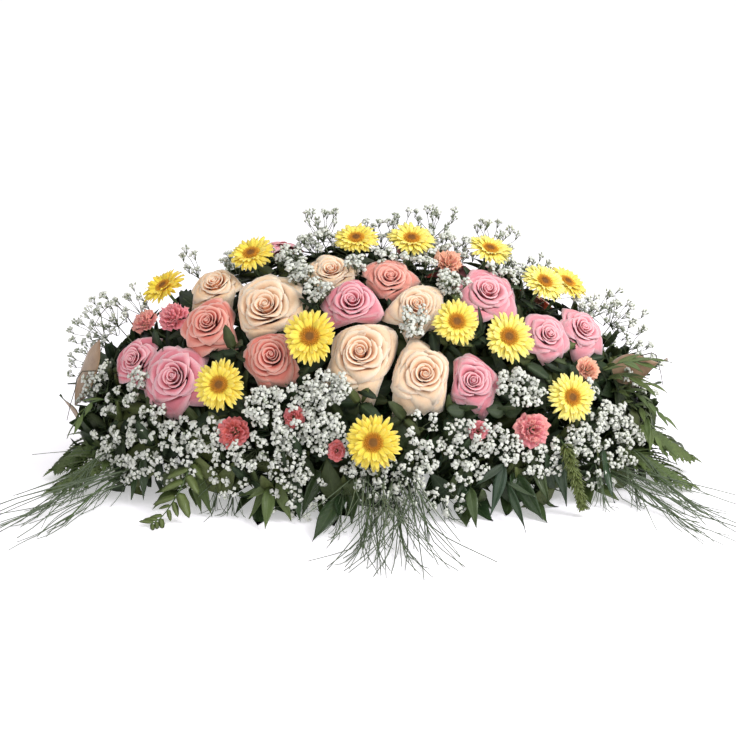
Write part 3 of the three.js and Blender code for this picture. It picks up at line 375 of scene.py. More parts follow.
class StageSettings(bpy.types.PropertyGroup):
    """Floor, light and camera."""

    floor: colour_setting("Floor", "#f3eff7", "The pale floor")
    key_power: FloatProperty(name="Key light", description="Power of the main lamp", unit="POWER", default=31)
    fill_power: FloatProperty(name="Fill light", description="The side lamps' power", unit="POWER", default=7)
    sky: FloatProperty(name="Sky", description="Strength of the white surroundings", min=0, default=0.72)


class SpraySettings(bpy.types.PropertyGroup):
    """All settings of the casket spray."""

    roses: PointerProperty(type=RoseSettings, name="Roses", description="Roses")
    gerberas: PointerProperty(type=GerberaSettings, name="Gerberas", description="Gerberas")
    carnations: PointerProperty(type=CarnationSettings, name="Carnations", description="Spray carnations")
    breath: PointerProperty(type=BreathSettings, name="Baby's breath", description="Baby's breath")
    greenery: PointerProperty(type=GreenerySettings, name="Greenery", description="Leaves and stems")
    holder: PointerProperty(type=HolderSettings, name="Holder", description="Saddle and foam")
    stage: PointerProperty(type=StageSettings, name="Stage", description="Floor, light and camera")


# Placing


def on_mound(across, lean, lift=0.0):
    """A point of the mound, and the direction in which its surface faces there."""
    shrink = math.sqrt(max(1 - (across / MOUND.x) ** 2, 0.02))
    angle = math.radians(lean)
    point = Vector((across, -MOUND.y * shrink * math.sin(angle), MOUND.z * shrink * math.cos(angle)))
    slope = Vector([place / half**2 for place, half in zip(point, MOUND)]).normalized()
    return point + slope * lift, slope


def turned_to(point, direction, turn=0.0, size=1.0):
    """The matrix that takes a shape made along +Z to a point, pointing in a direction."""
    facing = direction.to_track_quat("Z", "Y").to_matrix().to_4x4()
    return Matrix.Translation(point) @ facing @ Matrix.Rotation(turn, 4, "Z") @ Matrix.Scale(size, 4)


def laid_along(point, direction, upward=UP, size=1.0):
    """The matrix that takes a shape made along +Y, with its upper face to +Z, to a place."""
    along = direction.normalized()
    across = along.cross(upward)
    if across.length < 0.05:
        across = along.cross(Vector((1, 0, 0)))
    across.normalize()
    above = across.cross(along)
    matrix = Matrix((across * size, along * size, above * size)).transposed().to_4x4()
    return Matrix.Translation(point) @ matrix


def moved(points, matrix):
    """Points taken through a matrix."""
    table = np.array(matrix)
    return points @ table[:3, :3].T + table[:3, 3]


def sideways(along, turn):
    """A direction square to a stem, turned round it."""
    aside = along.orthogonal()
    aside.rotate(Matrix.Rotation(turn, 3, along))
    return aside


def on_line(line, share, at_point=False):
    """The place at a share of a stem's line, or the line's point before it, and how the stem runs there."""
    reach = share * (len(line) - 1)
    i = min(int(reach), len(line) - 2)
    step = line[i + 1] - line[i]
    root = line[i] if at_point else line[i] + step * (reach - i)
    return Vector(root), Vector(step).normalized()


class Bloom:
    """Where one flower head stands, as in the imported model."""

    def __init__(self, node, kind, across, lean, width, tone=0.5):
        depth, lift, heart, self.stem_radius = KINDS[kind]
        self.node = node
        self.kind = kind
        # On roses and gerberas the tone is how pale the bloom is, partly painted light from the right; on
        # carnations it is their hue.
        self.tone = tone
        self.radius = width / 2
        self.depth = depth * self.radius
        self.point, slope = on_mound(across, lean, lift)
        towards_viewer = Vector((0, 1 if lean < 0 else -1, VIEWER_HEIGHT))
        self.facing = (slope + TURN_TO_VIEWER * towards_viewer).normalized()
        self.heart = self.point - self.facing * heart * self.radius
        self.base = self.point - self.facing * self.depth
        self.foot = Vector((0.5 * self.base.x, 0.17 * self.base.y, 40 + 0.06 * self.base.z))
        self.rng = random.Random(f"{node} {across}")


def all_blooms():
    """The blooms in a fixed order: roses, gerberas, carnations."""
    blooms = []
    for kind, stock, rows in (
        ("rose", "rose_cream", CREAM_ROSES), ("rose", "rose_pink", PINK_ROSES),
        ("rose", "rose_coral", CORAL_ROSES), ("gerbera", "gerbera", GERBERAS),
    ):
        blooms += [Bloom(f"{stock}_{i + 1}", kind, *row) for i, row in enumerate(rows)]
    for node, rows in CARNATIONS.items():
        blooms += [Bloom(node, "carnation", *row) for row in rows]
    return blooms


BLOOMS = all_blooms()
BLOOM_POINTS = np.array([bloom.point for bloom in BLOOMS])
BLOOM_FACINGS = np.array([bloom.facing for bloom in BLOOMS])
BLOOM_RADII = np.array([bloom.radius for bloom in BLOOMS])
BLOOM_DEPTHS = np.array([bloom.depth for bloom in BLOOMS])


def inside_bloom(place, margin=0.0, above=2.0):
    """Whether a place is in the cone of petals of a bloom, or nearer to it than the margin."""
    away = np.array(place) - BLOOM_POINTS
    height = (away * BLOOM_FACINGS).sum(axis=1)
    radial = np.linalg.norm(away - height[:, None] * BLOOM_FACINGS, axis=1)
    cone = BLOOM_RADII * np.clip(1 + height / BLOOM_DEPTHS, 0, 1) ** 0.6
    return bool(np.any((height < above + margin) & (height > -BLOOM_DEPTHS) & (radial < cone + margin)))


def across_bloom(root, direction, length):
    """Whether a leaf would cut into a bloom or lie over its face."""
    return any(inside_bloom(root + direction * length * share, 1, 22) for share in (0.35, 0.7, 1.0))


def pressed(points, bloom):
    """Petals give way to their neighbours: points past the free share of the way are eased back."""
    for other in BLOOMS:
        away = other.heart - bloom.heart
        apart = away.length
        if other is bloom or apart > 1.08 * (bloom.radius + other.radius) + NEIGHBOUR_GAP:
            continue
        away = np.array(away / apart)
        limit = (apart**2 + bloom.radius**2 - other.radius**2) / (2 * apart) - NEIGHBOUR_GAP / 2
        free = 0.55 * limit
        reach = (points - np.array(bloom.heart)) @ away
        over = np.maximum(reach - free, 0)
        eased = (limit - free) * (1 - np.exp(-over / (limit - free)))
        points = points + (eased - over)[:, None] * away
    return points


# Shapes


class Shape:
    """A small mesh made with bmesh operators, held as arrays so that copies of it are quick."""

    def __init__(self, bm):
        mesh = bpy.data.meshes.new("shape")
        bm.to_mesh(mesh)
        bm.free()
        self.points = np.empty(len(mesh.vertices) * 3)
        self.corners = np.empty(len(mesh.loops), dtype=int)
        self.starts = np.empty(len(mesh.polygons), dtype=int)
        mesh.vertices.foreach_get("co", self.points)
        mesh.loops.foreach_get("vertex_index", self.corners)
        mesh.polygons.foreach_get("loop_start", self.starts)
        self.points = self.points.reshape(-1, 3)
        self.uv = self.points[:, :2] * (0.5, 1) + (0.5, 0)
        bpy.data.meshes.remove(mesh)


def blade_shape(across, along):
    """A thin closed slab: X runs from side to side (-1 to 1), Y from base to tip (0 to 1), Z is 0 or -1."""
    bm = bmesh.new()
    bmesh.ops.create_grid(bm, x_segments=across, y_segments=along, size=0.5)
    bmesh.ops.solidify(bm, geom=bm.faces[:], thickness=1)
    bmesh.ops.translate(bm, verts=bm.verts, vec=(0, 0.5, 0))
    bmesh.ops.scale(bm, verts=bm.verts, vec=(2, 1, 1))
    return Shape(bm)


def lens_shape(rows):
    """A closed lens with four sides, its poles at Z = 0 and Z = 1."""
    bm = bmesh.new()
    bmesh.ops.create_uvsphere(bm, u_segments=4, v_segments=rows, radius=1)
    bmesh.ops.translate(bm, verts=bm.verts, vec=(0, 0, 1))
    bmesh.ops.scale(bm, verts=bm.verts, vec=(1, 1, 0.5))
    return Shape(bm)


def tube_shape(sides, steps):
    """A closed round rod of radius 1 from Z = 0 to Z = 1."""
    bm = bmesh.new()
    bmesh.ops.create_cone(bm, cap_ends=True, segments=sides, radius1=1, radius2=1, depth=1)
    bmesh.ops.translate(bm, verts=bm.verts, vec=(0, 0, 0.5))
    if steps > 1:
        long_edges = [e for e in bm.edges if abs(e.verts[0].co.z - e.verts[1].co.z) > 0.5]
        bmesh.ops.subdivide_edges(bm, edges=long_edges, cuts=steps - 1)
    return Shape(bm)


def ball_shape(sides, rings):
    """A ball of radius 1 round the origin."""
    bm = bmesh.new()
    bmesh.ops.create_uvsphere(bm, u_segments=sides, v_segments=rings, radius=1)
    return Shape(bm)


PETAL = blade_shape(8, 8)
RAY = blade_shape(2, 6)
RUFFLE = blade_shape(8, 4)
LEAF = blade_shape(4, 9)
LARGE_LEAF = blade_shape(8, 10)
TOOTHED = blade_shape(2, 14)
SCROLL = blade_shape(16, 3)
SMALL_LEAF = lens_shape(4)
BROAD_LEAF = blade_shape(2, 6)
NEEDLE = tube_shape(3, 6)
TWIG = tube_shape(3, 3)
STALK = tube_shape(3, 1)
STEM = tube_shape(8, 6)
RIB = tube_shape(5, 10)
DISC = ball_shape(16, 8)
HIP = ball_shape(10, 8)
SEED = tube_shape(5, 1)
FLORET = ball_shape(8, 3)
BUD = ball_shape(5, 4)

# A small leaf lies along +Y though its lens stands along +Z
SMALL_LEAF.uv = np.stack([0.5 - 0.5 * SMALL_LEAF.points[:, 0], SMALL_LEAF.points[:, 2]], axis=-1)


def looks(share=0.0, tone=0.5, extra=0.0):
    """The colour attribute that the materials read: a share of the colour ramp, a tone and a paleness, which
    on roses and gerberas is partly painted light.
    """
    return np.stack(np.broadcast_arrays(share, tone, extra, 1.0), axis=-1)


def linked(name, data):
    """A new object in the scene."""
    thing = bpy.data.objects.new(name, data)
    bpy.context.scene.collection.objects.link(thing)
    return thing


class Bunch:
    """Copies of small shapes in millimetres, gathered into one mesh. Each face has the name of its finish."""

    def __init__(self):
        self.points = []
        self.corners = []
        self.starts = []
        self.uvs = []
        self.looks = []
        self.finishes = []
        self.point_count = 0
        self.corner_count = 0

    def add(self, shape, points, look, finish, uv=None):
        """Adds a copy of a shape whose points have been worked out."""
        uv = shape.uv if uv is None else uv
        self.points.append(points)
        self.corners.append(shape.corners + self.point_count)
        self.starts.append(shape.starts + self.corner_count)
        self.uvs.append(uv[shape.corners])
        self.looks.append(np.broadcast_to(look, (len(points), 4)))
        self.finishes.append(np.broadcast_to(finish, len(shape.starts)))
        self.point_count += len(points)
        self.corner_count += len(shape.corners)

    def lay(self, shape, points, matrix, look, finish, lowest=1.0):
        """Adds a copy at its place, with nothing of it lower than the given height over the floor."""
        placed = moved(points, matrix)
        placed[:, 2] = np.maximum(placed[:, 2], lowest)
        self.add(shape, placed, look, finish)

    def piece(self, name, finishes, node):
        """Makes the mesh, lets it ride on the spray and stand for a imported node."""
        mesh = bpy.data.meshes.new(name)
        mesh.vertices.add(self.point_count)
        mesh.loops.add(self.corner_count)
        used, numbers = np.unique(np.concatenate(self.finishes), return_inverse=True)
        mesh.polygons.add(len(numbers))
        mesh.vertices.foreach_set("co", (np.concatenate(self.points) * METRES).ravel())
        mesh.loops.foreach_set("vertex_index", np.concatenate(self.corners))
        mesh.polygons.foreach_set("loop_start", np.concatenate(self.starts))
        mesh.polygons.foreach_set("material_index", numbers)
        mesh.uv_layers.new(name="UVMap").data.foreach_set("uv", np.concatenate(self.uvs).ravel())
        look = mesh.attributes.new("look", "FLOAT_COLOR", "POINT")
        look.data.foreach_set("color", np.concatenate(self.looks).ravel())
        mesh.update(calc_edges=True)
        mesh.shade_smooth()
        if mesh.validate():
            raise RuntimeError(f"{name} has faulty faces")
        for finish in used:
            mesh.materials.append(finishes[finish])
        made = linked(name, mesh)
        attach(made, "root")
        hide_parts(node)


def sheeted(shape, form, thickness):
    """The points of a blade whose upper face follows a form of (side, share along)."""
    side, along, under = shape.points.T
    here = form(side, along)
    across = form(side + 0.02, along) - form(side - 0.02, along)
    ahead = form(side, along + 0.02) - form(side, along - 0.02)
    normal = np.cross(across, ahead)
    size = np.linalg.norm(normal, axis=1, keepdims=True)
    return here + normal / np.maximum(size, 1e-9) * (thickness * under)[:, None]


LINE_POINTS = 25


def smooth_line(places):
    """Points along a smooth curve through a few places."""
    stops = np.array([tuple(place) for place in places], float)
    ends = np.vstack([2 * stops[0] - stops[1], stops, 2 * stops[-1] - stops[-2]])
    reach = np.linspace(0, len(stops) - 1, LINE_POINTS)
    first = np.minimum(reach.astype(int), len(stops) - 2)
    share = (reach - first)[:, None]
    a, b, c, d = (ends[first + k] for k in range(4))
    bend = (2 * a - 5 * b + 4 * c - d) * share**2 + (3 * b - a - 3 * c + d) * share**3
    return 0.5 * (2 * b + (c - a) * share + bend)


def tube(bunch, places, thick, thin, look, finish="stem", shape=TWIG):
    """A stem along a smooth line, with its radius where it starts and where it ends."""
    line = smooth_line(places)
    shares = np.linspace(0, 1, len(line))
    slopes = np.gradient(line, axis=0)
    whole = np.abs(line[-1] - line[0])
    aside = np.eye(3)[int(np.argmin(whole))]
    x, y, reach = shape.points.T

    def at(table):
        return np.stack([np.interp(reach, shares, table[:, k]) for k in range(3)], axis=-1)

    along = at(slopes)
    along /= np.linalg.norm(along, axis=1, keepdims=True)
    first = np.cross(along, aside)
    first /= np.maximum(np.linalg.norm(first, axis=1, keepdims=True), 1e-6)
    second = np.cross(along, first)
    radius = (thick + (thin - thick) * reach)[:, None]
    points = at(line) + radius * (x[:, None] * first + y[:, None] * second)
    uv = np.stack([np.arctan2(y, x) / math.tau + 0.5, reach], axis=-1)
    bunch.add(shape, points, look, finish, uv)
    return line


def leaf_points(
    length, width, arch, fold, thickness=0.6, shape=LEAF, wave=0.0, blunt=0.75, phase=0.0, fine=1.15,
):
    """A pointed leaf made along +Y: its sides fold up from the rib and its tip arches down."""

    def form(side, along):
        along = np.clip(along, 0, 1.02)
        half = width / 2 * np.clip(np.sin(math.pi * along**blunt), 0.02, None) ** fine
        ripple = wave * length * np.sin(9 * along + phase) * side * np.abs(side)
        over = fold * half * np.abs(side) - arch * length * along**2 + ripple
        return np.stack([side * half, along * length, over], axis=-1)

    return sheeted(shape, form, thickness)


def small_leaf_points(length, width, arch, fold, thickness=1.0):
    """A small closed leaf made along +Y."""
    x, y, along = SMALL_LEAF.points.T
    half = width / 2 * (1.2 - 0.55 * along)
    over = y * thickness / 2 + fold * half * np.abs(x) - arch * length * along**2
    return np.stack([-x * half, along * length, over], axis=-1)


# Finishes


def add_node(tree, kind, inputs=None, stops=(), **options):
    """Adds a node with its options, its sockets' values or links, and the stops of a ramp."""
    made = tree.nodes.new(kind)
    for option, value in options.items():
        setattr(made, option, value)
    for socket, value in (inputs or {}).items():
        if isinstance(value, bpy.types.NodeSocket):
            tree.links.new(value, made.inputs[socket])
        else:
            made.inputs[socket].default_value = value
    for k, (place, colour) in enumerate(stops):
        stop = made.color_ramp.elements[k] if k < 2 else made.color_ramp.elements.new(place)
        stop.position = place
        stop.color = (*colour, 1)
    return made


def new_finish(name, sockets):
    """A material with one shader whose constant sockets are set, and the tree to link into."""
    material = bpy.data.materials.new(name)
    material.use_nodes = True
    tree = material.node_tree
    tree.nodes.clear()
    shader = add_node(tree, "ShaderNodeBsdfPrincipled", sockets)
    add_node(tree, "ShaderNodeOutputMaterial", {"Surface": shader.outputs[0]})
    return material, tree, shader


def cover(tree, shader, colour, height, strength, distance, invert=False):
    """Gives a shader its colour and its relief, whose height is in metres."""
    bump = add_node(
        tree, "ShaderNodeBump", {"Height": height, "Strength": strength, "Distance": distance}, invert=invert
    )
    tree.links.new(colour, shader.inputs["Base Color"])
    tree.links.new(bump.outputs[0], shader.inputs["Normal"])


def read_looks(tree):
    """The shares kept in the mesh (red, green, blue), and the UV map's own across and along."""
    look = add_node(tree, "ShaderNodeAttribute", attribute_name="look")
    shares = add_node(tree, "ShaderNodeSeparateColor", {0: look.outputs["Color"]})
    uv = add_node(tree, "ShaderNodeUVMap", uv_map="UVMap")
    return shares.outputs, uv.outputs[0]


def darker(colour, share):
    """A colour times a share, which may be over 1."""
    return tuple(channel * share for channel in colour)


def blended(one, other, share):
    """A colour that is a share of the way from one to the other."""
    return tuple(a + (b - a) * share for a, b in zip(one, other))


def varied(tree, colour, tone, spread):
    """A colour whose brightness follows each copy's tone and a soft mottle about 7 mm across."""
    place = add_node(tree, "ShaderNodeTexCoord").outputs["Object"]
    mottle = add_node(tree, "ShaderNodeTexNoise", {"Vector": place, "Scale": 140, "Detail": 3})
    mixed = add_node(tree, "ShaderNodeMath", {0: tone, 1: mottle.outputs[0]}, operation="ADD")
    value = add_node(
        tree, "ShaderNodeMapRange",
        {
            "Value": mixed.outputs[0], "From Min": 0.2, "From Max": 1.8,
            "To Min": 1 - spread, "To Max": 1 + spread,
        },
    )
    return add_node(tree, "ShaderNodeHueSaturation", {"Color": colour, "Value": value.outputs[0]}).outputs[0]


def petal_skin(name, outer, heart, rim):
    """Rose petal: thin velvety skin with fine veins, deeper in the heart (own colour and painted shade) and
    paler where it rolls back (paler edge and painted highlight).
    """
    material, tree, shader = new_finish(name, {
        "Roughness": 0.6, "IOR": 1.4, "Sheen Weight": 0.2, "Sheen Roughness": 0.4, "Subsurface Weight": 0.3,
        "Subsurface Radius": (1.0, 0.66, 0.52), "Subsurface Scale": 0.0025, "Specular IOR Level": 0.3,
    })
    (share, tone, paleness_and_painted_light), uv = read_looks(tree)
    # Heart to outer colour by the share: the heart colour is the inner petals' own and also painted shade at
    # the base of every petal.
    depth = add_node(
        tree, "ShaderNodeValToRGB", {0: share},
        stops=[
            (0.0, heart), (1.0, outer),
            (0.35, blended(heart, outer, 0.4)), (0.7, blended(heart, outer, 0.85)),
        ],
    )
    # Painted highlight over a paler edge: the rim colour comes in over the last sixth of each petal, where it
    # rolls over.
    along = add_node(tree, "ShaderNodeSeparateXYZ", {0: uv}).outputs[1]
    edge = add_node(
        tree, "ShaderNodeMapRange",
        {"Value": along, "From Min": 0.84, "From Max": 1.0, "To Min": 0, "To Max": 0.9},
    )
    rims_and_painted_highlight = add_node(
        tree, "ShaderNodeMix", {0: edge.outputs[0], 6: depth.outputs[0], 7: (*rim, 1)}, data_type="RGBA"
    )
    # Painted light, besides each bloom's own colour: the paler blooms, those on the right, take in more rim
    # colour, as if lit from there.
    pale_and_lit_share = add_node(tree, "ShaderNodeMath", {0: paleness_and_painted_light, 1: 0.32}, operation="MULTIPLY")
    paler = add_node(
        tree, "ShaderNodeMix", {0: pale_and_lit_share.outputs[0], 6: rims_and_painted_highlight.outputs[2], 7: (*rim, 1)},
        data_type="RGBA",
    )
    # Veins about 0.6 mm apart across a petal 40 mm wide
    stretched = add_node(tree, "ShaderNodeMapping", {"Vector": uv, "Scale": (34, 3, 1)})
    veins = add_node(tree, "ShaderNodeTexNoise", {"Vector": stretched.outputs[0], "Scale": 2, "Detail": 3})
    streak = add_node(
        tree, "ShaderNodeMapRange",
        {"Value": veins.outputs[0], "From Min": 0.3, "From Max": 0.7, "To Min": 0.93, "To Max": 1.03},
    )
    streaked = add_node(
        tree, "ShaderNodeHueSaturation", {"Color": paler.outputs[2], "Value": streak.outputs[0]}
    )
    cover(tree, shader, varied(tree, streaked.outputs[0], tone, 0.1), veins.outputs[0], 0.3, 0.0004)
    return material


def ray_skin(name, petal, pale, root):
    """Gerbera petal: smooth satin, golden at the root, with lengthwise grooves; its paleness is partly
    painted light.
    """
    material, tree, shader = new_finish(name, {
        "Roughness": 0.5, "IOR": 1.4, "Sheen Weight": 0.12, "Subsurface Weight": 0.3,
        "Subsurface Radius": (1.0, 0.7, 0.2), "Subsurface Scale": 0.004, "Specular IOR Level": 0.35,
    })
    (_, tone, paleness_and_painted_light), uv = read_looks(tree)
    along = add_node(tree, "ShaderNodeSeparateXYZ", {0: uv}).outputs[1]
    # Painted light, besides each bloom's own colour: the deep ramp is the petal in shade and the light ramp
    # the petal lit, mixed by the paleness, which is higher for the gerberas on the right.
    deep = add_node(
        tree, "ShaderNodeValToRGB", {0: along},
        stops=[(0.1, root), (1.0, blended(petal, LEMON, 0.1)), (0.45, petal), (0.75, petal)],
    )
    light = add_node(
        tree, "ShaderNodeValToRGB", {0: along},
        stops=[
            (0.1, blended(root, petal, 0.5)), (1.0, blended(pale, PALE_LEMON, 0.2)),
            (0.4, blended(petal, pale, 0.5)), (0.7, pale),
        ],
    )
    colour = add_node(
        tree, "ShaderNodeMix", {0: paleness_and_painted_light, 6: deep.outputs[0], 7: light.outputs[0]}, data_type="RGBA"
    )
    # Grooves about 3 mm apart, where a petal is widest
    groove = add_node(
        tree, "ShaderNodeTexWave", {"Vector": uv, "Scale": 0.5, "Distortion": 0.4}, bands_direction="X"
    )
    cover(tree, shader, varied(tree, colour.outputs[2], tone, 0.13), groove.outputs[1], 0.5, 0.0006)
    return material


def share_skin(name, stops, spread, sockets):
    """Matt plant surface whose colour follows the share kept in the mesh, with a grain about 1 mm across."""
    material, tree, shader = new_finish(name, sockets)
    (share, tone, _), _ = read_looks(tree)
    colour = add_node(tree, "ShaderNodeValToRGB", {0: share}, stops=stops)
    place = add_node(tree, "ShaderNodeTexCoord").outputs["Object"]
    grain = add_node(tree, "ShaderNodeTexNoise", {"Vector": place, "Scale": 900, "Detail": 2})
    cover(tree, shader, varied(tree, colour.outputs[0], tone, spread), grain.outputs[0], 0.4, 0.0003)
    return material


def leaf_skin(name, colour, roughness, spread=0.35, coat=0.0):
    """Leaf blade: waxy skin with a paler rib and side veins that run towards the edge and the tip."""
    material, tree, shader = new_finish(name, {
        "Roughness": roughness, "IOR": 1.45, "Coat Weight": coat, "Coat Roughness": 0.2,
        "Specular IOR Level": 0.4,
    })
    (share, tone, _), uv = read_looks(tree)
    across, along, _ = add_node(tree, "ShaderNodeSeparateXYZ", {0: uv}).outputs
    offset = add_node(tree, "ShaderNodeMath", {0: across, 1: 0.5}, operation="SUBTRACT")
    aside = add_node(tree, "ShaderNodeMath", {0: offset.outputs[0]}, operation="ABSOLUTE").outputs[0]
    rib = add_node(
        tree, "ShaderNodeMapRange",
        {"Value": aside, "From Min": 0.0, "From Max": 0.07, "To Min": 1, "To Max": 0},
    )
    # Nine pairs of side veins, swept forwards
    swept = add_node(tree, "ShaderNodeMath", {0: aside, 1: -0.5, 2: along}, operation="MULTIPLY_ADD")
    rings = add_node(tree, "ShaderNodeMath", {0: swept.outputs[0], 1: 57}, operation="MULTIPLY")
    veins = add_node(tree, "ShaderNodeMath", {0: rings.outputs[0]}, operation="SINE")
    sharp = add_node(
        tree, "ShaderNodeMapRange",
        {"Value": veins.outputs[0], "From Min": 0.8, "From Max": 1, "To Min": 0, "To Max": 0.5},
    )
    lines = add_node(tree, "ShaderNodeMath", {0: rib.outputs[0], 1: sharp.outputs[0]}, operation="MAXIMUM")
    ramp = add_node(
        tree, "ShaderNodeValToRGB", {0: share}, stops=[(0.0, colour), (1.0, blended(colour, OLD_LEAF, 0.5))]
    )
    vein_share = add_node(tree, "ShaderNodeMath", {0: lines.outputs[0], 1: 0.16}, operation="MULTIPLY")
    vein_colour = (*blended(colour, VEIN_GREEN, 0.45), 1)
    mixed = add_node(
        tree, "ShaderNodeMix", {0: vein_share.outputs[0], 6: ramp.outputs[0], 7: vein_colour},
        data_type="RGBA",
    )
    colours = varied(tree, mixed.outputs[2], tone, spread)
    cover(tree, shader, colours, lines.outputs[0], 0.5, 0.0005, invert=True)
    return material


def stem_skin(name, colour, roughness=0.6):
    """Stem: green bark with fine lengthwise ridges about 0.5 mm apart."""
    sockets = {"Roughness": roughness, "IOR": 1.45, "Specular IOR Level": 0.35}
    material, tree, shader = new_finish(name, sockets)
    (_, tone, _), uv = read_looks(tree)
    stretched = add_node(tree, "ShaderNodeMapping", {"Vector": uv, "Scale": (20, 4, 1)})
    ridges = add_node(tree, "ShaderNodeTexNoise", {"Vector": stretched.outputs[0], "Scale": 1.5, "Detail": 2})
    colours = add_node(
        tree, "ShaderNodeValToRGB", {0: ridges.outputs[0]},
        stops=[(0.35, darker(colour, 0.7)), (0.7, blended(colour, DRY_STEM, 0.2))],
    )
    cover(tree, shader, varied(tree, colours.outputs[0], tone, 0.25), ridges.outputs[0], 0.4, 0.0003)
    return material


def felted_leaf_skin(colour):
    """Underside of a magnolia leaf: matt tan felt of short hairs, a little lighter and darker in clouds."""
    material, tree, shader = new_finish("felted_leaf_underside", {
        "Roughness": 0.92, "IOR": 1.4, "Sheen Weight": 0.5, "Sheen Roughness": 0.6,
        "Specular IOR Level": 0.15,
    })
    (_, tone, _), _ = read_looks(tree)
    place = add_node(tree, "ShaderNodeTexCoord").outputs["Object"]
    felt = add_node(tree, "ShaderNodeTexNoise", {"Vector": place, "Scale": 1400, "Detail": 3})
    clouds = add_node(tree, "ShaderNodeTexNoise", {"Vector": place, "Scale": 60, "Detail": 4})
    colours = add_node(
        tree, "ShaderNodeValToRGB", {0: clouds.outputs[0]},
        stops=[(0.3, darker(colour, 0.72)), (0.7, blended(colour, PALE_FELT, 0.3))],
    )
    cover(tree, shader, varied(tree, colours.outputs[0], tone, 0.12), felt.outputs[0], 0.5, 0.0005)
    return material


def moulded_plastic(colour):
    """Polypropylene, injection moulded: slightly waxy dark green with a fine eroded grain."""
    material, tree, shader = new_finish("moulded_polypropylene", {"Roughness": 0.46, "IOR": 1.49})
    place = add_node(tree, "ShaderNodeTexCoord").outputs["Object"]
    # Grain about 0.5 mm, drawn a little coarser than real so that it shows
    grain = add_node(tree, "ShaderNodeTexNoise", {"Vector": place, "Scale": 1600, "Detail": 2})
    clouds = add_node(tree, "ShaderNodeTexNoise", {"Vector": place, "Scale": 30, "Detail": 4})
    colours = add_node(
        tree, "ShaderNodeValToRGB", {0: clouds.outputs[0]},
        stops=[(0.35, darker(colour, 0.82)), (0.68, darker(colour, 1.12))],
    )
    cover(tree, shader, colours.outputs[0], grain.outputs[0], 0.25, 0.0003)
    return material


def wet_foam(colour):
    """Phenolic floral foam, cut and soaked: open cells about 1 mm across and a dull wet surface."""
    material, tree, shader = new_finish("soaked_phenolic_foam", {"Roughness": 0.72, "IOR": 1.33})
    place = add_node(tree, "ShaderNodeTexCoord").outputs["Object"]
    cells = add_node(tree, "ShaderNodeTexVoronoi", {"Vector": place, "Scale": 900})
    clouds = add_node(tree, "ShaderNodeTexNoise", {"Vector": place, "Scale": 45, "Detail": 4})
    # Painted shade, besides soft clouds: the colour is darker in the pits of the open cells, where the relief
    # is lowest.
    mixed = add_node(
        tree, "ShaderNodeMath", {0: cells.outputs[0], 1: clouds.outputs[0]}, operation="MULTIPLY"
    )
    colours = add_node(
        tree, "ShaderNodeValToRGB", {0: mixed.outputs[0]},
        stops=[(0.05, darker(colour, 0.5)), (0.4, darker(colour, 1.1))],
    )
    cover(tree, shader, colours.outputs[0], cells.outputs[0], 0.8, 0.0008)
    return material


SKINS = {}


def skins(settings):
    """The leaf and stem finishes by name, made once and shared by all the pieces."""
    greens = settings.greenery
    if not SKINS:
        SKINS.update(
            stem=stem_skin("green_flower_stem", greens.stem[:]),
            glossy=leaf_skin("waxy_evergreen_leaf", greens.glossy[:], 0.34, coat=0.25),
            olive=leaf_skin("young_evergreen_leaf", greens.olive[:], 0.42, coat=0.15),
            pale=leaf_skin("grey_green_leaf", greens.pale[:], 0.28, coat=0.5),
            bed=leaf_skin("dull_bed_leaf", greens.bed[:], 0.55, spread=0.5),
            fern=leaf_skin("leathery_fern_frond", greens.fern[:], 0.5, spread=0.4),
            needle=stem_skin("long_pine_needle", greens.needle[:], 0.5),
            bark=stem_skin("thin_brown_twig", greens.bark[:], 0.75),
        )
    return SKINS


# Roses

# A rose's whorls from the heart out: petals, waist and rim radius, rim height, opening, half width of a petal
# (degrees), how far its rim rolls back, how far its tip stands out. Lengths are shares of the bloom's radius.
# An opening of 1 lays a petal back, a negative one closes it.
ROSE_WHORLS = [
    (2, 0.08, 0.16, 0.12, -0.3, 105, 0.02, 0.0),
    (3, 0.14, 0.27, 0.11, -0.1, 82, 0.04, 0.01),
    (3, 0.23, 0.4, 0.08, 0.1, 76, 0.07, 0.02),
    (4, 0.33, 0.55, 0.05, 0.32, 62, 0.1, 0.05),
    (4, 0.44, 0.72, -0.02, 0.52, 60, 0.13, 0.1),
    (4, 0.54, 0.92, -0.12, 0.72, 56, 0.2, 0.14),
    (5, 0.62, 1.16, -0.3, 1.0, 52, 0.2, 0.14),
]
GOLDEN_ANGLE = 2.39996


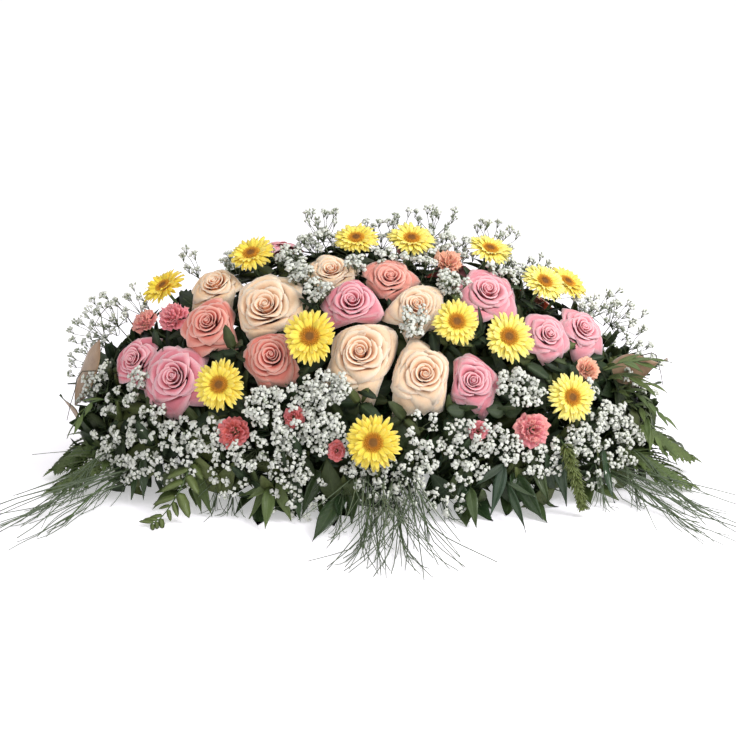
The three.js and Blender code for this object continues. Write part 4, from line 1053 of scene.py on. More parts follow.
def rose_petal(waist, rim, height, opening, half, roll, point, turn, rng):
    """The form of one petal: out of the hip, up along the cup, and over at its rim."""
    opened = max(opening, 0)
    closed = max(-opening, 0)
    point = point * rng.uniform(0.4, 1.4)
    drop = rng.uniform(0.08, 0.18) + 0.14 * opened
    wave = rng.uniform(0.012, 0.045) * (0.3 + opened)
    phases = [rng.uniform(0, math.tau) for _ in range(3)]
    roll = roll * rng.uniform(0.6, 1.3)
    corners = rng.uniform(0.08, 0.22) * opened
    tuck = rng.uniform(0.03, 0.06) * (0.6 + rim)
    radii = (0.08, waist, waist + (rim - waist) * (0.25 + 0.9 * closed), rim * (1 - 0.25 * closed))
    heights = (-0.9, -0.6, height - 0.16 + 0.4 * opened, height)

    def form(side, along):
        edge = 1 - drop * np.abs(side) ** 2.4 + point * np.exp(-((side / 0.25) ** 2))
        along = np.clip(along, 0, None) * edge
        rest = 1 - along
        steps = (rest**3, 3 * rest**2 * along, 3 * rest * along**2, along**3)
        out = sum(share * radius for share, radius in zip(steps, radii))
        over = sum(share * place for share, place in zip(steps, heights))
        late = np.clip((along - 0.7) / 0.3, 0, 1.4) ** 2
        out = out + late * roll * (0.8 - 0.4 * opened) + tuck * side * along
        over = over - late * roll * (0.35 + 0.75 * opened) - corners * np.abs(side) ** 2.5 * along**2
        out = out + wave * along**2 * np.sin(3.6 * side + phases[0])
        over = over + wave * along**2 * np.sin(4.6 * side + phases[1])
        wide = 0.5 + 0.5 * np.sin(np.clip(along / 0.6, 0, 1) * math.pi / 2)
        angle = turn + half * wide * side + 0.05 * late * np.sin(3 * side + phases[2])
        return np.stack([out * np.cos(angle), out * np.sin(angle), over], axis=-1)

    return form


def rose_scroll(side, along):
    """The form of the tight scroll of petals in the heart."""
    share = (side + 1) / 2
    angle = math.tau * 2.1 * share
    out = (0.012 + 0.11 * share) * (1 - 0.25 * np.clip(along, 0, 1) ** 2)
    over = -0.5 + 0.64 * along + 0.02 * np.sin(5 * side) - 0.03 * share
    return np.stack([out * np.cos(angle), out * np.sin(angle), over], axis=-1)


def flower_stem(bunch, bloom, foot=None):
    """The stem of a bloom, from the foam or from a fork up to the head."""
    tube(
        bunch, [foot or bloom.foot, bloom.base], bloom.stem_radius, bloom.stem_radius * 0.85, looks(tone=0.5),
        shape=STEM,
    )


def calyx(bunch, bloom, matrix):
    """The green hip under a rose's head and the five pointed sepals on it."""
    depth = bloom.depth / bloom.radius
    hip = HIP.points * (0.17, 0.17, 0.2) + (0, 0, -0.86 * depth)
    bunch.add(HIP, moved(hip, matrix), looks(0.3, 0.5), "olive")
    sepal = small_leaf_points(0.55, 0.225, 0.3, 0.3, 0.03)
    for k in range(5):
        direction = Matrix.Rotation(k * math.tau / 5, 4, "Z") @ Matrix.Translation((0, 0.1, -0.9 * depth))
        tilt = Matrix.Rotation(0.5, 4, "X")
        bunch.add(SMALL_LEAF, moved(sepal, matrix @ direction @ tilt), looks(0.3, 0.4), "olive")


def rose(bloom, skin, settings):
    """One rose: whorls of petals round a tight heart, a hip with sepals, and its stem into the foam."""
    rng = bloom.rng
    bunch = Bunch()
    matrix = turned_to(bloom.point, bloom.facing, rng.uniform(0, math.tau), bloom.radius)
    thickness = settings.roses.thickness / METRES / bloom.radius
    bloom_tone = rng.uniform(0.4, 0.6)
    heart_lean = np.array([rng.uniform(-0.08, 0.08), rng.uniform(-0.08, 0.08), 0])

    def add_petal(shape, points, look):
        bunch.add(shape, pressed(moved(points, matrix), bloom), look, "petal")

    for count, waist, rim, height, opening, half, roll, point in ROSE_WHORLS:
        start = rng.uniform(0, math.tau)
        for k in range(count):
            size = rng.uniform(0.94, 1.06)
            form = rose_petal(
                waist * size, rim * size, height + rng.uniform(-0.03, 0.03), opening + rng.uniform(-0.1, 0.1),
                math.radians(half * rng.uniform(0.9, 1.1)), roll, point,
                start + math.tau * (k + rng.uniform(-0.12, 0.12)) / count, rng,
            )
            points = sheeted(PETAL, form, thickness)
            away = np.hypot(points[:, 0], points[:, 1])
            # The share runs from the heart colour (0) to the outer colour (1): the inner whorls' own deeper
            # colour, and painted shade that deepens every petal towards its base, in the crevices between the
            # whorls.
            share = 0.3 + away * 0.4 + rim * 0.4 - 0.9 * (1 - PETAL.points[:, 1])
            share = np.clip(share, 0, 1) * min(rim / 0.24, 1)
            points = points + np.clip(1 - away / 0.75, 0, 1)[:, None] * heart_lean
            add_petal(PETAL, points, looks(share, bloom_tone + rng.uniform(-0.2, 0.2), bloom.tone))
    scroll = sheeted(SCROLL, rose_scroll, thickness) + heart_lean
    add_petal(SCROLL, scroll, looks(0.25, bloom_tone, bloom.tone))
    packed_petals = HIP.points * (0.15, 0.15, 0.3) + (0, 0, -0.24) + heart_lean
    add_petal(HIP, packed_petals, looks(0.2, bloom_tone, bloom.tone))
    calyx(bunch, bloom, matrix)
    flower_stem(bunch, bloom)
    bunch.piece(f"{bloom.node}_petals", {"petal": skin, **skins(settings)}, bloom.node)


# Gerberas

DISC_FLORETS = 110
# Shares of the bloom's radius
RAY_THICKNESS = 0.018
DISC_RADIUS = 0.29


def ray_form(reach, half, lift, droop, sway, twist):
    """One strap of a gerbera: narrow at the disc, widest at two thirds, with a blunt tip."""

    def form(side, along):
        along = np.clip(along, 0, 1.04)
        wide = 0.4 + 0.6 * np.sin(np.clip(along / 0.66, 0, 1) * math.pi / 2)
        blunt = np.sqrt(np.clip(1 - along**7, 0.06, 1))
        out = 0.2 + (reach - 0.2) * (along - 0.035 * side**2 * along)
        across = side * half * wide * blunt + sway * along**2
        over = 0.03 + lift * along - droop * along**2.4 + 0.25 * half * side**2 + twist * side * half * along
        return np.stack([across, out, over], axis=-1)

    return form


def gerbera(bloom, finishes, settings):
    """One gerbera: rows of straps round a domed disc set with tiny florets, on its stem."""
    rng = bloom.rng
    bunch = Bunch()
    matrix = turned_to(bloom.point, bloom.facing, rng.uniform(0, math.tau), bloom.radius)
    lean = rng.uniform(-0.03, 0.05)
    for count, reach, lift, droop, tone_shift in (
        (settings.gerberas.outer_petals, 1.0, 0.08, 0.12, 0.0),
        (settings.gerberas.inner_petals, 0.93, 0.2, 0.13, 0.08),
        (settings.gerberas.inner_petals - 5, 0.66, 0.26, 0.06, 0.12),
    ):
        start = rng.uniform(0, math.tau)
        for k in range(count):
            form = ray_form(
                reach * rng.uniform(0.92, 1.04), rng.uniform(0.068, 0.09),
                lift + lean + rng.uniform(-0.04, 0.04), droop + rng.uniform(-0.06, 0.08),
                rng.uniform(-0.06, 0.06), rng.uniform(-0.5, 0.5),
            )
            turn = Matrix.Rotation(start + math.tau * (k + rng.uniform(-0.22, 0.22)) / count, 4, "Z")
            points = moved(sheeted(RAY, form, RAY_THICKNESS), matrix @ turn)
            tone = 0.5 + tone_shift + rng.uniform(-0.25, 0.25)
            bunch.add(RAY, pressed(points, bloom), looks(0.0, tone, bloom.tone), "petal")
    dome = DISC.points * (0.27, 0.27, 0.12) + (0, 0, 0.04)
    away = np.hypot(dome[:, 0], dome[:, 1])
    bunch.add(DISC, moved(dome, matrix), looks(away / 0.3, 0.4), "disc")
    disc_florets(bunch, matrix, rng)
    cup = HIP.points * (0.2, 0.2, 0.17) + (0, 0, -0.14)
    bunch.add(HIP, moved(cup, matrix), looks(0.3, 0.5), "olive")
    flower_stem(bunch, bloom)
    bunch.piece(f"{bloom.node}_petals", finishes, bloom.node)


def disc_florets(bunch, matrix, rng):
    """Florets in a sunflower spiral: short in the eye, longer and leaning out at the rim of the disc."""
    for k in range(DISC_FLORETS):
        share = math.sqrt((k + 0.5) / DISC_FLORETS)
        angle = GOLDEN_ANGLE * k
        outward = Vector((math.cos(angle), math.sin(angle), 0))
        height = 0.03 + 0.12 * math.sqrt(max(1 - share**2, 0.05))
        place = turned_to(outward * DISC_RADIUS * share + UP * height, outward * share * 0.8 + UP)
        size = np.array((0.014, 0.014, 0.035 + 0.05 * share**3)) * (1 + 0.5 * share)
        look = looks(min(share + rng.uniform(-0.05, 0.05), 1), rng.uniform(0.3, 0.8))
        bunch.add(SEED, moved(SEED.points * size, matrix @ place), look, "disc")


# Spray carnations

# Rows of petals: how many, how far they reach as a share of the radius, how steeply they rise (radians)
CARNATION_ROWS = ((8, 0.95, 0.1), (8, 0.84, 0.5), (7, 0.74, 0.85), (6, 0.64, 1.15), (4, 0.6, 1.4))
RUFFLE_THICKNESS = 0.02


def ruffle_form(reach, rise, half, ruffle, phase):
    """One carnation petal: a fan whose edge is toothed and ruffled."""

    def form(side, along):
        along = np.clip(along, 0, 1.02)
        teeth = 0.07 * np.abs(np.sin(7.5 * side + phase)) * along**2
        length = along * (1 - 0.12 * side**2 + teeth)
        angle = half * side * (0.35 + 0.65 * along)
        out = 0.1 + reach * length * math.cos(rise)
        over = -0.5 + 0.55 * length * (math.sin(rise) + 0.5) + ruffle * along**2 * np.sin(8 * side + phase)
        out = out + 0.5 * ruffle * along**2 * np.cos(6 * side + phase)
        return np.stack([out * np.sin(angle), out * np.cos(angle), over], axis=-1)

    return form


def carnation(bunch, bloom):
    """One carnation head over its slim calyx."""
    rng = bloom.rng
    matrix = turned_to(bloom.point, bloom.facing, rng.uniform(0, math.tau), bloom.radius)
    for count, reach, rise in CARNATION_ROWS:
        start = rng.uniform(0, math.tau)
        for k in range(count):
            form = ruffle_form(
                reach * rng.uniform(0.8, 1.12), rise + rng.uniform(-0.25, 0.25),
                math.radians(rng.uniform(24, 36)), rng.uniform(0.08, 0.17), rng.uniform(0, math.tau),
            )
            turn = Matrix.Rotation(start + math.tau * (k + rng.uniform(-0.2, 0.2)) / count, 4, "Z")
            points = moved(sheeted(RUFFLE, form, RUFFLE_THICKNESS), matrix @ turn)
            tone = np.clip(bloom.tone + rng.uniform(-0.1, 0.1) + 0.22 * RUFFLE.points[:, 1] ** 4, 0, 1)
            look = looks(tone, rng.uniform(0.25, 0.75), rise)
            bunch.add(RUFFLE, pressed(points, bloom), look, "petal")
    calyx_line = [bloom.base - bloom.facing * 2, bloom.point - bloom.facing * 0.3 * bloom.radius]
    tube(bunch, calyx_line, 0.16 * bloom.radius, 0.3 * bloom.radius, looks(0.4, 0.5), "olive", STEM)


def carnation_spray(node, blooms, skin, settings):
    """The blooms of one spray on a stem that forks."""
    bunch = Bunch()
    first = blooms[0]
    flower_stem(bunch, first)
    for i, bloom in enumerate(blooms):
        carnation(bunch, bloom)
        if i > 0:
            flower_stem(bunch, bloom, first.foot.lerp(first.base, 0.5 - 0.06 * (i - 1)))
    bunch.piece(f"{node}_blooms", {"petal": skin, **skins(settings)}, node)


# Baby's breath


def floret_points():
    """A tiny double flower: crinkled petals round a hollow middle, over a narrow cup."""
    x, y, z = FLORET.points.T
    lobe = np.round(np.arctan2(y, x) / (math.tau / 8)).astype(int) % 2
    pole = np.abs(z) > 0.95
    outward = np.where(z > 0, np.where(lobe, 1.08, 0.72), 0.5)
    height = np.where(z > 0, np.where(lobe, 0.22, 0.42), np.where(lobe, -0.5, -0.36))
    height = np.where(pole, np.where(z > 0, 0.16, -0.95), height)
    share = np.where(pole, np.where(z > 0, 0.7, 0.0), np.where(z > 0, 1.0, 0.35))
    return np.stack([x * outward, y * outward, height], axis=-1), share


OPEN_FLORET, FLORET_SHARES = floret_points()
BUD_POINTS = BUD.points * (0.5, 0.5, 0.72) + (0, 0, -0.3)
BUD_SHARES = np.clip(0.55 + 0.45 * BUD.points[:, 2], 0, 1) * 0.8
# Clumps: size and number as shares of what the patches say, and the places that each may choose from
CLUMP_SIZE = 0.84
CLUMP_SHARE = 1.35
CLUMP_TRIES = 16
# The highest that a clump stands, and the height over the mound from which half of the florets are buds (mm)
HIGHEST_SPRIG = 346
FREE_SPRIG = 12


def clump(bunch, fork, centre, outward, radius, count, closed, settings, rng):
    """Florets on short stalks that spread from one fork into a loose dome, a share of them still closed."""
    size = settings.breath.floret / METRES / 2
    facing_out = turned_to(Vector(), outward).to_3x3()
    for k in range(count):
        ring = GOLDEN_ANGLE * k + rng.uniform(-0.5, 0.5)
        polar = math.acos(1 - 1.1 * (k + rng.random()) / count)
        aim = facing_out @ Vector(
            (math.sin(polar) * math.cos(ring), math.sin(polar) * math.sin(ring), math.cos(polar))
        )
        place = centre + aim * radius * rng.uniform(0.5, 1.1)
        place.z = max(place.z, 4)
        if inside_bloom(place, -1):
            continue
        stalk = place - fork
        tone = rng.uniform(0.1, 0.9)
        along = stalk.normalized()
        tube(bunch, [fork, place - along * size * 0.7], 0.42, 0.3, looks(tone=tone), "twig", STALK)
        waver = Vector([rng.uniform(-0.4, 0.4) for _ in range(3)])
        facing = (along + aim * 0.4 + waver).normalized()
        if rng.random() < closed:
            points = moved(BUD_POINTS, turned_to(place, facing, ring, size * 0.85))
            bunch.add(BUD, points, looks(BUD_SHARES * rng.uniform(0.4, 1.0), tone), "floret")
        else:
            points = moved(OPEN_FLORET, turned_to(place, facing, ring, size * rng.uniform(0.75, 1.15)))
            bunch.add(FLORET, points, looks(FLORET_SHARES * rng.uniform(0.8, 1.0), tone), "floret")


def breath_patch(bunch, start, patch, centres, settings, rng):
    """One branch of baby's breath. Each clump takes the place that is furthest from those before it."""
    across, lean, lift, spread, clumps, florets, radius = patch
    spread_lean = math.degrees(spread / MOUND.z)
    fork, _ = on_mound(across, lean, max(lift - 30, -34) + 0.1 * lift)
    fork.z = max(fork.z, 10)
    tube(bunch, [start, fork], 1.3, 0.8, looks(tone=0.4), "twig")
    radius *= CLUMP_SIZE
    for _ in range(round(CLUMP_SHARE * clumps)):
        found = []
        for _ in range(CLUMP_TRIES):
            ring = rng.uniform(0, math.tau)
            out = math.sqrt(rng.random())
            centre, slope = on_mound(
                across + out * math.cos(ring) * spread, lean + out * math.sin(ring) * spread_lean,
                lift - radius * 0.4 + rng.uniform(-6, 6) * (1 + lift / 12),
            )
            centre.z = min(max(centre.z, radius * 0.7 + 3), HIGHEST_SPRIG)
            if not inside_bloom(centre, 0.5 * radius):
                room = min(((centre - other).length for other in centres), default=0)
                found.append((room, centre, slope))
        if not found:
            continue
        _, centre, slope = max(found, key=lambda row: row[0])
        centres.append(centre)
        lean_out = Vector([rng.uniform(-0.3, 0.3) for _ in range(3)])
        outward = (slope + lean_out + Vector((0, 0, 0.15))).normalized()
        knot = centre - outward * radius * 1.4
        bend = fork.lerp(knot, 0.6) + lean_out * 8
        tube(bunch, [fork, bend, knot], 0.65, 0.4, looks(tone=0.5), "twig")
        closed = 0.5 if lift > FREE_SPRIG else 0.12
        clump(bunch, knot, centre, outward, radius, florets, closed, settings, rng)


def bunch_start(node, i, count):
    """Where a branch leaves its bunch's main stem."""
    root, end = (Vector(place) for place in MAIN_STEMS[node])
    return end.lerp(root, FORK_START + FORK_SPREAD * i / count)


def main_stem(bunch, node, finish="stem"):
    """A bunch's main stem, 6 mm thick, from the foam to where its branches start."""
    tube(bunch, MAIN_STEMS[node], 3.0, 3.0, looks(tone=0.4), finish, STEM)


def breath_skins(settings):
    """Florets: thin white petals over a grey-green cup. Twigs: fine green stems."""
    white, cup = settings.breath.white[:], settings.breath.calyx[:]
    stops = [(0.0, cup), (1.0, white), (0.6, blended(cup, white, 0.75))]
    floret = share_skin("thin_white_floret", stops, 0.1, {
        "Roughness": 0.7, "IOR": 1.4, "Specular IOR Level": 0.2, "Subsurface Weight": 0.2,
        "Subsurface Radius": (1.0, 1.0, 0.8), "Subsurface Scale": 0.002,
    })
    return {"floret": floret, "twig": stem_skin("fine_green_twig", settings.breath.twig[:])}


def babys_breath(node, patches, finishes, settings):
    """One bunch: a branch from the main stem to each of its patches."""
    rng = random.Random(node)
    bunch = Bunch()
    centres = []
    main_stem(bunch, node, "twig")
    for i, patch in enumerate(patches):
        breath_patch(bunch, bunch_start(node, i, len(patches)), patch, centres, settings, rng)
    bunch.piece(f"{node}_florets", finishes, node)


# Greenery

# How far along a stem its first leaf and its last leaf or needle sit, as shares of its length
FIRST_LEAF = 0.35
LAST_LEAF = 0.99
FROND_LEAFLETS = 30


def needle_fan(bunch, line, count, length, splay, radius, first, rng):
    """Long soft needles that leave a stem all round, sweep towards its tip and waver."""
    for k in range(count):
        share = first + (LAST_LEAF - first) * (k + rng.random()) / count
        root, along = on_line(line, share)
        reach = length * rng.uniform(0.5, 1.15) * (1.02 - 0.12 * share)
        spread = splay * rng.uniform(0.3, 1.3) * (1.15 - 0.45 * share)
        strand(bunch, root, along, reach, spread, radius, rng)


def strand(bunch, root, along, reach, spread, radius, rng):
    """One long needle that leaves its stem at a slant, bends one way and sinks towards the floor."""
    heading = along + sideways(along, rng.uniform(0, math.tau)) * spread
    bend = along.cross(UP).normalized() * rng.uniform(-0.13, 0.13)
    places = [root]
    for _ in range(4):
        heading = (heading + bend - UP * 0.05).normalized()
        stop = places[-1] + heading * reach / 4
        stop.z = max(stop.z, rng.uniform(1.5, 5))
        stop.x = min(max(stop.x, -NEEDLE_LIMITS.x), NEEDLE_LIMITS.x)
        stop.y = max(stop.y, NEEDLE_LIMITS.y)
        places.append(stop)
    paler = 0.5 if abs(root.x) > END_SPRAYS else 0
    tube(bunch, places, radius, radius * 0.6, looks(tone=paler + rng.uniform(0, 0.5)), "needle", NEEDLE)


def long_strands(bunch, roots, directions, count, rng):
    """The longest needles of a spray, which leave the foam side by side and cross one another."""
    for _ in range(count):
        root = Vector([rng.uniform(low, high) for low, high in zip(*roots)])
        foot = Vector((root.x * 0.62, *STRAND_FOOT))
        along = Vector([rng.uniform(low, high) for low, high in zip(*directions)]).normalized()
        tube(bunch, [foot, foot.lerp(root, 0.5) + UP * 8, root], 0.8, 0.8, looks(tone=0.3))
        farthest = (root.y - NEEDLE_LIMITS.y) / max(-along.y, 0.3)
        reach = min(rng.uniform(115, 250), farthest * rng.uniform(0.9, 1.0))
        strand(bunch, root, along, reach, rng.uniform(0, 0.15), rng.uniform(0.8, 1.05), rng)


# The furthest that a needle reaches to the sides and to the front (mm)
NEEDLE_LIMITS = Vector((478, -437))
# Needles further out than this are paler (mm)
END_SPRAYS = 180
# Where a long strand leaves the front of the foam: Y and Z (mm)
STRAND_FOOT = (-52, 46)
# Needles on a rib and on a tuft: how many, length (mm), splay, radius (mm), where on the stem they start
RIB_NEEDLES = (22, 118, 0.3, 0.75, 0.3)
TUFT_NEEDLES = (14, 58, 0.38, 0.65, 0.6)
# Tufts of shorter needles: places that their stems pass, the last one the tip (mm)
NEEDLE_TUFTS = {
    "needle_spray_left": [
        ((-160, -150, 40), (-166, -196, 44), (-172, -216, 8)),
        ((-176, -150, 44), (-186, -190, 40), (-192, -214, 10)),
        ((-300, -110, 60), (-346, -150, 54), (-376, -176, 20)),
    ],
    "needle_spray_right": [
        ((270, -120, 50), (290, -168, 50), (300, -196, 10)),
        ((310, -120, 46), (334, -160, 40), (344, -190, 8)),
        ((300, -100, 60), (350, -130, 54), (384, -150, 20)),
    ],
    "needle_spray_front": [
        ((70, -150, 40), (84, -210, 40), (96, -236, 10)), ((-30, -150, 40), (-30, -240, 40), (-34, -290, 8)),
        ((50, -150, 50), (62, -240, 44), (72, -300, 8)),
    ],
}
# Long strands: the box that they start in (mm), the range of their directions, how many
NEEDLE_STRANDS = {
    "needle_spray_left": (((-336, -172, 24), (-296, -132, 44)), ((-1.0, -1.0, -0.2), (-0.7, -0.6, 0.0)), 14),
    "needle_spray_right": (((298, -168, 24), (340, -128, 44)), ((0.7, -1.0, -0.2), (1.0, -0.55, 0.0)), 14),
    "needle_spray_front": (((-22, -240, 24), (64, -200, 62)), ((-0.16, -1.0, -0.16), (0.16, -0.9, 0.02)), 58),
}


def needle_spray(node, settings):
    """One spray: ribs with needles all along, the longest strands, and tufts of shorter ones."""
    rng = random.Random(node)
    bunch = Bunch()
    main_stem(bunch, node)
    for i, route in enumerate(NEEDLE_ROUTES[node]):
        line = tube(bunch, [bunch_start(node, i, 2), *route], 2.2, 1.0, looks(tone=0.3), shape=RIB)
        needle_fan(bunch, line, *RIB_NEEDLES, rng)
    long_strands(bunch, *NEEDLE_STRANDS[node], rng)
    for route in NEEDLE_TUFTS[node]:
        line = tube(bunch, [bunch_start(node, 1, 2), *route], 1.4, 0.6, looks(tone=0.3))
        needle_fan(bunch, line, *TUFT_NEEDLES, rng)
    bunch.piece(f"{node}_needles", skins(settings), node)


def toothed_pinna(length, width, arch):
    """One leaflet of a fern: a strap whose edges run out into forward-pointing lobes."""

    def form(side, along):
        along = np.clip(along, 0, 1.01)
        envelope = np.clip(np.sin(math.pi * (0.08 + 0.92 * along) ** 0.7), 0.03, None)
        lobe = 0.5 + 0.5 * np.cos(math.pi * 14 * along)
        half = width / 2 * envelope * (0.45 + 0.55 * lobe)
        forward = np.abs(side) * lobe * 0.07 * length * (1 - along)
        over = -arch * length * along**2 + 0.18 * half * np.abs(side)
        return np.stack([side * half, along * length + forward, over], axis=-1)

    return sheeted(TOOTHED, form, 0.6)


def fern_frond(bunch, base, tip, width, rng):
    """A frond: a rib that arches over, with leaflets to both sides that shorten towards the tip."""
    reach = tip - base
    crown = base.lerp(tip, 0.5) + UP * 0.1 * reach.length
    line = tube(bunch, [base, crown, tip], 1.1, 0.5, looks(tone=0.5), shape=RIB)
    for k in range(FROND_LEAFLETS):
        share = (k + 0.6) / FROND_LEAFLETS
        root, along = on_line(line, share)
        side = along.cross(UP).normalized() * (1 if k % 2 else -1)
        length = width / 2 * math.sin(math.pi * (0.22 + 0.72 * share)) * rng.uniform(0.92, 1.12) * 1.3
        direction = side + along * (0.5 + 0.4 * share) + UP * rng.uniform(-0.12, 0.16)
        points = toothed_pinna(length, 0.3 * width * (1.1 - 0.6 * share), rng.uniform(0.1, 0.28))
        look = looks(rng.uniform(0, 0.5), rng.uniform(0.3, 0.7))
        bunch.lay(TOOTHED, points, laid_along(root, direction), look, "fern", lowest=1.2)
    points = toothed_pinna(0.2 * width, 0.14 * width, 0.1)
    bunch.add(TOOTHED, moved(points, laid_along(Vector(line[-1]), reach)), looks(0.4, 0.6), "fern")


def fern(node, settings):
    """One group of fronds on a forked stem."""
    rng = random.Random(node)
    bunch = Bunch()
    main_stem(bunch, node)
    fronds = FERN_FRONDS[node]
    for i, (bend, start, tip, width) in enumerate(fronds):
        stalk = [bunch_start(node, i, len(fronds)), bend, start]
        tube(bunch, stalk, 2.0, 1.2, looks(tone=0.4), shape=RIB)
        fern_frond(bunch, Vector(start), Vector(tip), width, rng)
    bunch.piece(f"{node}_fronds", skins(settings), node)


def leafy_branch(bunch, places, leaves, length, width, finish, rng, thick=2.0):
    """A stem with leaves on alternate sides and one at its end."""
    line = tube(bunch, places, thick, 0.8, looks(tone=0.4), shape=RIB)
    for k in range(leaves):
        root, along = on_line(line, FIRST_LEAF + (LAST_LEAF - FIRST_LEAF) * k / (leaves - 1))
        side = along.cross(UP).normalized() * (1 if k % 2 else -1)
        direction = along + UP * rng.uniform(-0.1, 0.22)
        if k < leaves - 1:
            direction += side * rng.uniform(0.6, 1.3)
        size = rng.uniform(0.85, 1.1)
        tilt = UP + Vector((rng.uniform(-0.4, 0.4), rng.uniform(-0.4, 0.1), 0))
        points = leaf_points(
            length * size, width * size, rng.uniform(0.06, 0.28), rng.uniform(0.1, 0.4),
            wave=rng.uniform(0.0, 0.02), phase=rng.uniform(0, 6),
        )
        look = looks(rng.uniform(0, 0.5), rng.uniform(0.25, 0.8))
        bunch.lay(LEAF, points, laid_along(root, direction, tilt), look, finish)


def lip_leaf(bunch, base, tip, width, finish, rng):
    """A leaf that hangs from the lip of the mound between two given places, on its own short stalk."""
    reach = tip - base
    outward = Vector((rng.uniform(-0.9, 0.9), -0.75, 0.65))
    bow = rng.uniform(-0.24, -0.08)
    points = leaf_points(
        reach.length, width * 0.82, bow, rng.uniform(0.2, 0.6),
        wave=0.016, blunt=0.7, phase=rng.uniform(0, 6), fine=1.25,
    )
    matrix = laid_along(base, reach, outward) @ Matrix.Rotation(math.atan(bow), 4, "X")
    bunch.lay(LEAF, points, matrix, looks(rng.uniform(0, 0.4), rng.uniform(0.35, 0.75)), finish)
    hidden = Vector((base.x * 0.85, base.y + 70, max(base.z - 6, 30)))
    tube(bunch, [hidden, base.lerp(hidden, 0.4) + UP * 4, base + reach * 0.05], 1.2, 0.7, looks(tone=0.4))


def leafy_stems(node, settings):
    """One group of leafy stems, with the leaves of the lip, the accents and the bed foliage beside them."""
    rng = random.Random(node)
    bunch = Bunch()
    main_stem(bunch, node)
    routes = LEAF_ROUTES[node]
    for i, (bend, end, leaves, length, width) in enumerate(routes):
        start = bunch_start(node, i, len(routes))
        leafy_branch(bunch, [start, bend, end], leaves, length, width, "glossy" if i < 2 else "olive", rng)
    for base, tip, width, finish in LIP_LEAVES.get(node, ()):
        base, tip = Vector(base), Vector(tip)
        lip_leaf(bunch, base, tip, width, finish, rng)
        between = base.lerp(tip, rng.uniform(0.4, 0.7)) + Vector((rng.choice((-26, -18, 18, 26)), 6, 6))
        lip_leaf(bunch, base, between, width * 0.6, finish, rng)
    for accent in ACCENTS.get(node, ()):
        accent(bunch, rng)
    bed_foliage(bunch, node, settings, rng)
    bunch.piece(f"{node}_leaves", skins(settings), node)


def large_leaf(bunch, root, direction, outward, length, width, rng):
    """A magnolia leaf, green above and tan below, as two faces of one blade."""
    points = leaf_points(
        length, width, rng.uniform(0.02, 0.12), rng.uniform(0.08, 0.2), 0.9, LARGE_LEAF,
        wave=rng.uniform(0.01, 0.03), blunt=0.95, phase=rng.uniform(0, 6),
    )
    placed = moved(points, laid_along(root, direction, outward))
    below = LARGE_LEAF.points[:, 2] < -0.5
    first, second = (below[LARGE_LEAF.corners[LARGE_LEAF.starts + k]] for k in (0, 1))
    finishes = np.where(first & second, "felt", "glossy")
    bunch.add(LARGE_LEAF, placed, looks(0.2, rng.uniform(0.3, 0.7)), finishes)


# Large leaves besides those on the branches: root and tip (mm), which way the tan side faces, width (mm)
MAGNOLIA_LEAVES = {
    "magnolia_left": [
        ((-396, -46, 92), (-348, -74, 190), (-0.75, -0.65, 0.1), 40),
        ((-388, -60, 70), (-402, -84, 120), (-0.8, -0.6, 0.1), 34),
        ((-352, -24, 74), (-392, -92, 78), (-0.7, -0.7, 0.2), 42),
        ((-346, 10, 100), (-374, 30, 150), (-0.8, 0.5, 0.3), 44),
    ],
    "magnolia_right": [
        ((330, -16, 112), (362, -58, 170), (0.6, -0.8, 0.2), 46),
        ((336, -20, 100), (388, -66, 136), (0.7, -0.7, 0.1), 44),
        ((308, -70, 142), (382, -88, 160), (0.1, -0.9, 0.4), 40),
        ((334, 14, 104), (372, 34, 146), (0.8, 0.5, 0.3), 44),
    ],
}

# Narrow-leaved twigs over the large leaves: places that they pass (mm), leaves, leaf length and width (mm)
MAGNOLIA_TWIGS = {
    "magnolia_left": [([(-262, -40, 90), (-350, -104, 116), (-378, -116, 92)], 6, 30, 7)],
    "magnolia_right": [
        ([(262, -40, 110), (318, -102, 162), (350, -112, 170)], 7, 38, 11),
        ([(262, -50, 100), (324, -106, 148), (358, -118, 142)], 7, 38, 11),
        ([(262, -60, 90), (336, -108, 130), (384, -120, 98)], 9, 30, 8),
        ([(262, -66, 80), (346, -112, 112), (372, -128, 74)], 9, 30, 8),
    ],
}


def magnolia(node, felt, settings):
    """The large leaves of one end, with bare and leafy twigs and the bed foliage beside them."""
    rng = random.Random(node)
    bunch = Bunch()
    main_stem(bunch, node)
    for i, route in enumerate(MAGNOLIA_ROUTES[node]):
        line = tube(bunch, [bunch_start(node, i, 2), *route], 2.4, 1.2, looks(tone=0.4), shape=RIB)
        away = Vector(line[-1] - line[-4]).normalized()
        for place, aside in zip(line[18::3], (0, 0.9, -0.9)):
            side = away.cross(UP).normalized() * aside
            large_leaf(bunch, Vector(place), away + side + UP * rng.uniform(0, 0.3), UP, 88, 46, rng)
    for root, tip, tan, width in MAGNOLIA_LEAVES[node]:
        root, tip, tan = Vector(root), Vector(tip), Vector(tan)
        hidden = Vector((root.x * 0.86, root.y * 0.5 + 10, root.z * 0.8))
        tube(bunch, [hidden, root], 1.8, 1.2, looks(tone=0.4))
        large_leaf(bunch, root, tip - root, -tan, (tip - root).length, width, rng)
    for places in BARE_TWIGS[node]:
        tube(bunch, places, 1.0, 0.45, looks(tone=0.2), "bark", RIB)
    for places, leaves, length, width in MAGNOLIA_TWIGS[node]:
        leafy_branch(bunch, places, leaves, length, width, "fern", rng, thick=1.2)
    bed_foliage(bunch, node, settings, rng)
    bunch.piece(f"{node}_leaves", {"felt": felt, **skins(settings)}, node)


# The front of the mound's lip, how low bed leaves hang there (mm), the share of lower ones that are left out
LIP_FRONT = -150
LIP_GAP = 34
LIP_KEPT_CLEAR = 0.88
# How far bed twigs stand out in the foam along X and Y (mm), leaves on each
FOAM_REACH = (222, 50)
TWIG_LEAVES = 13


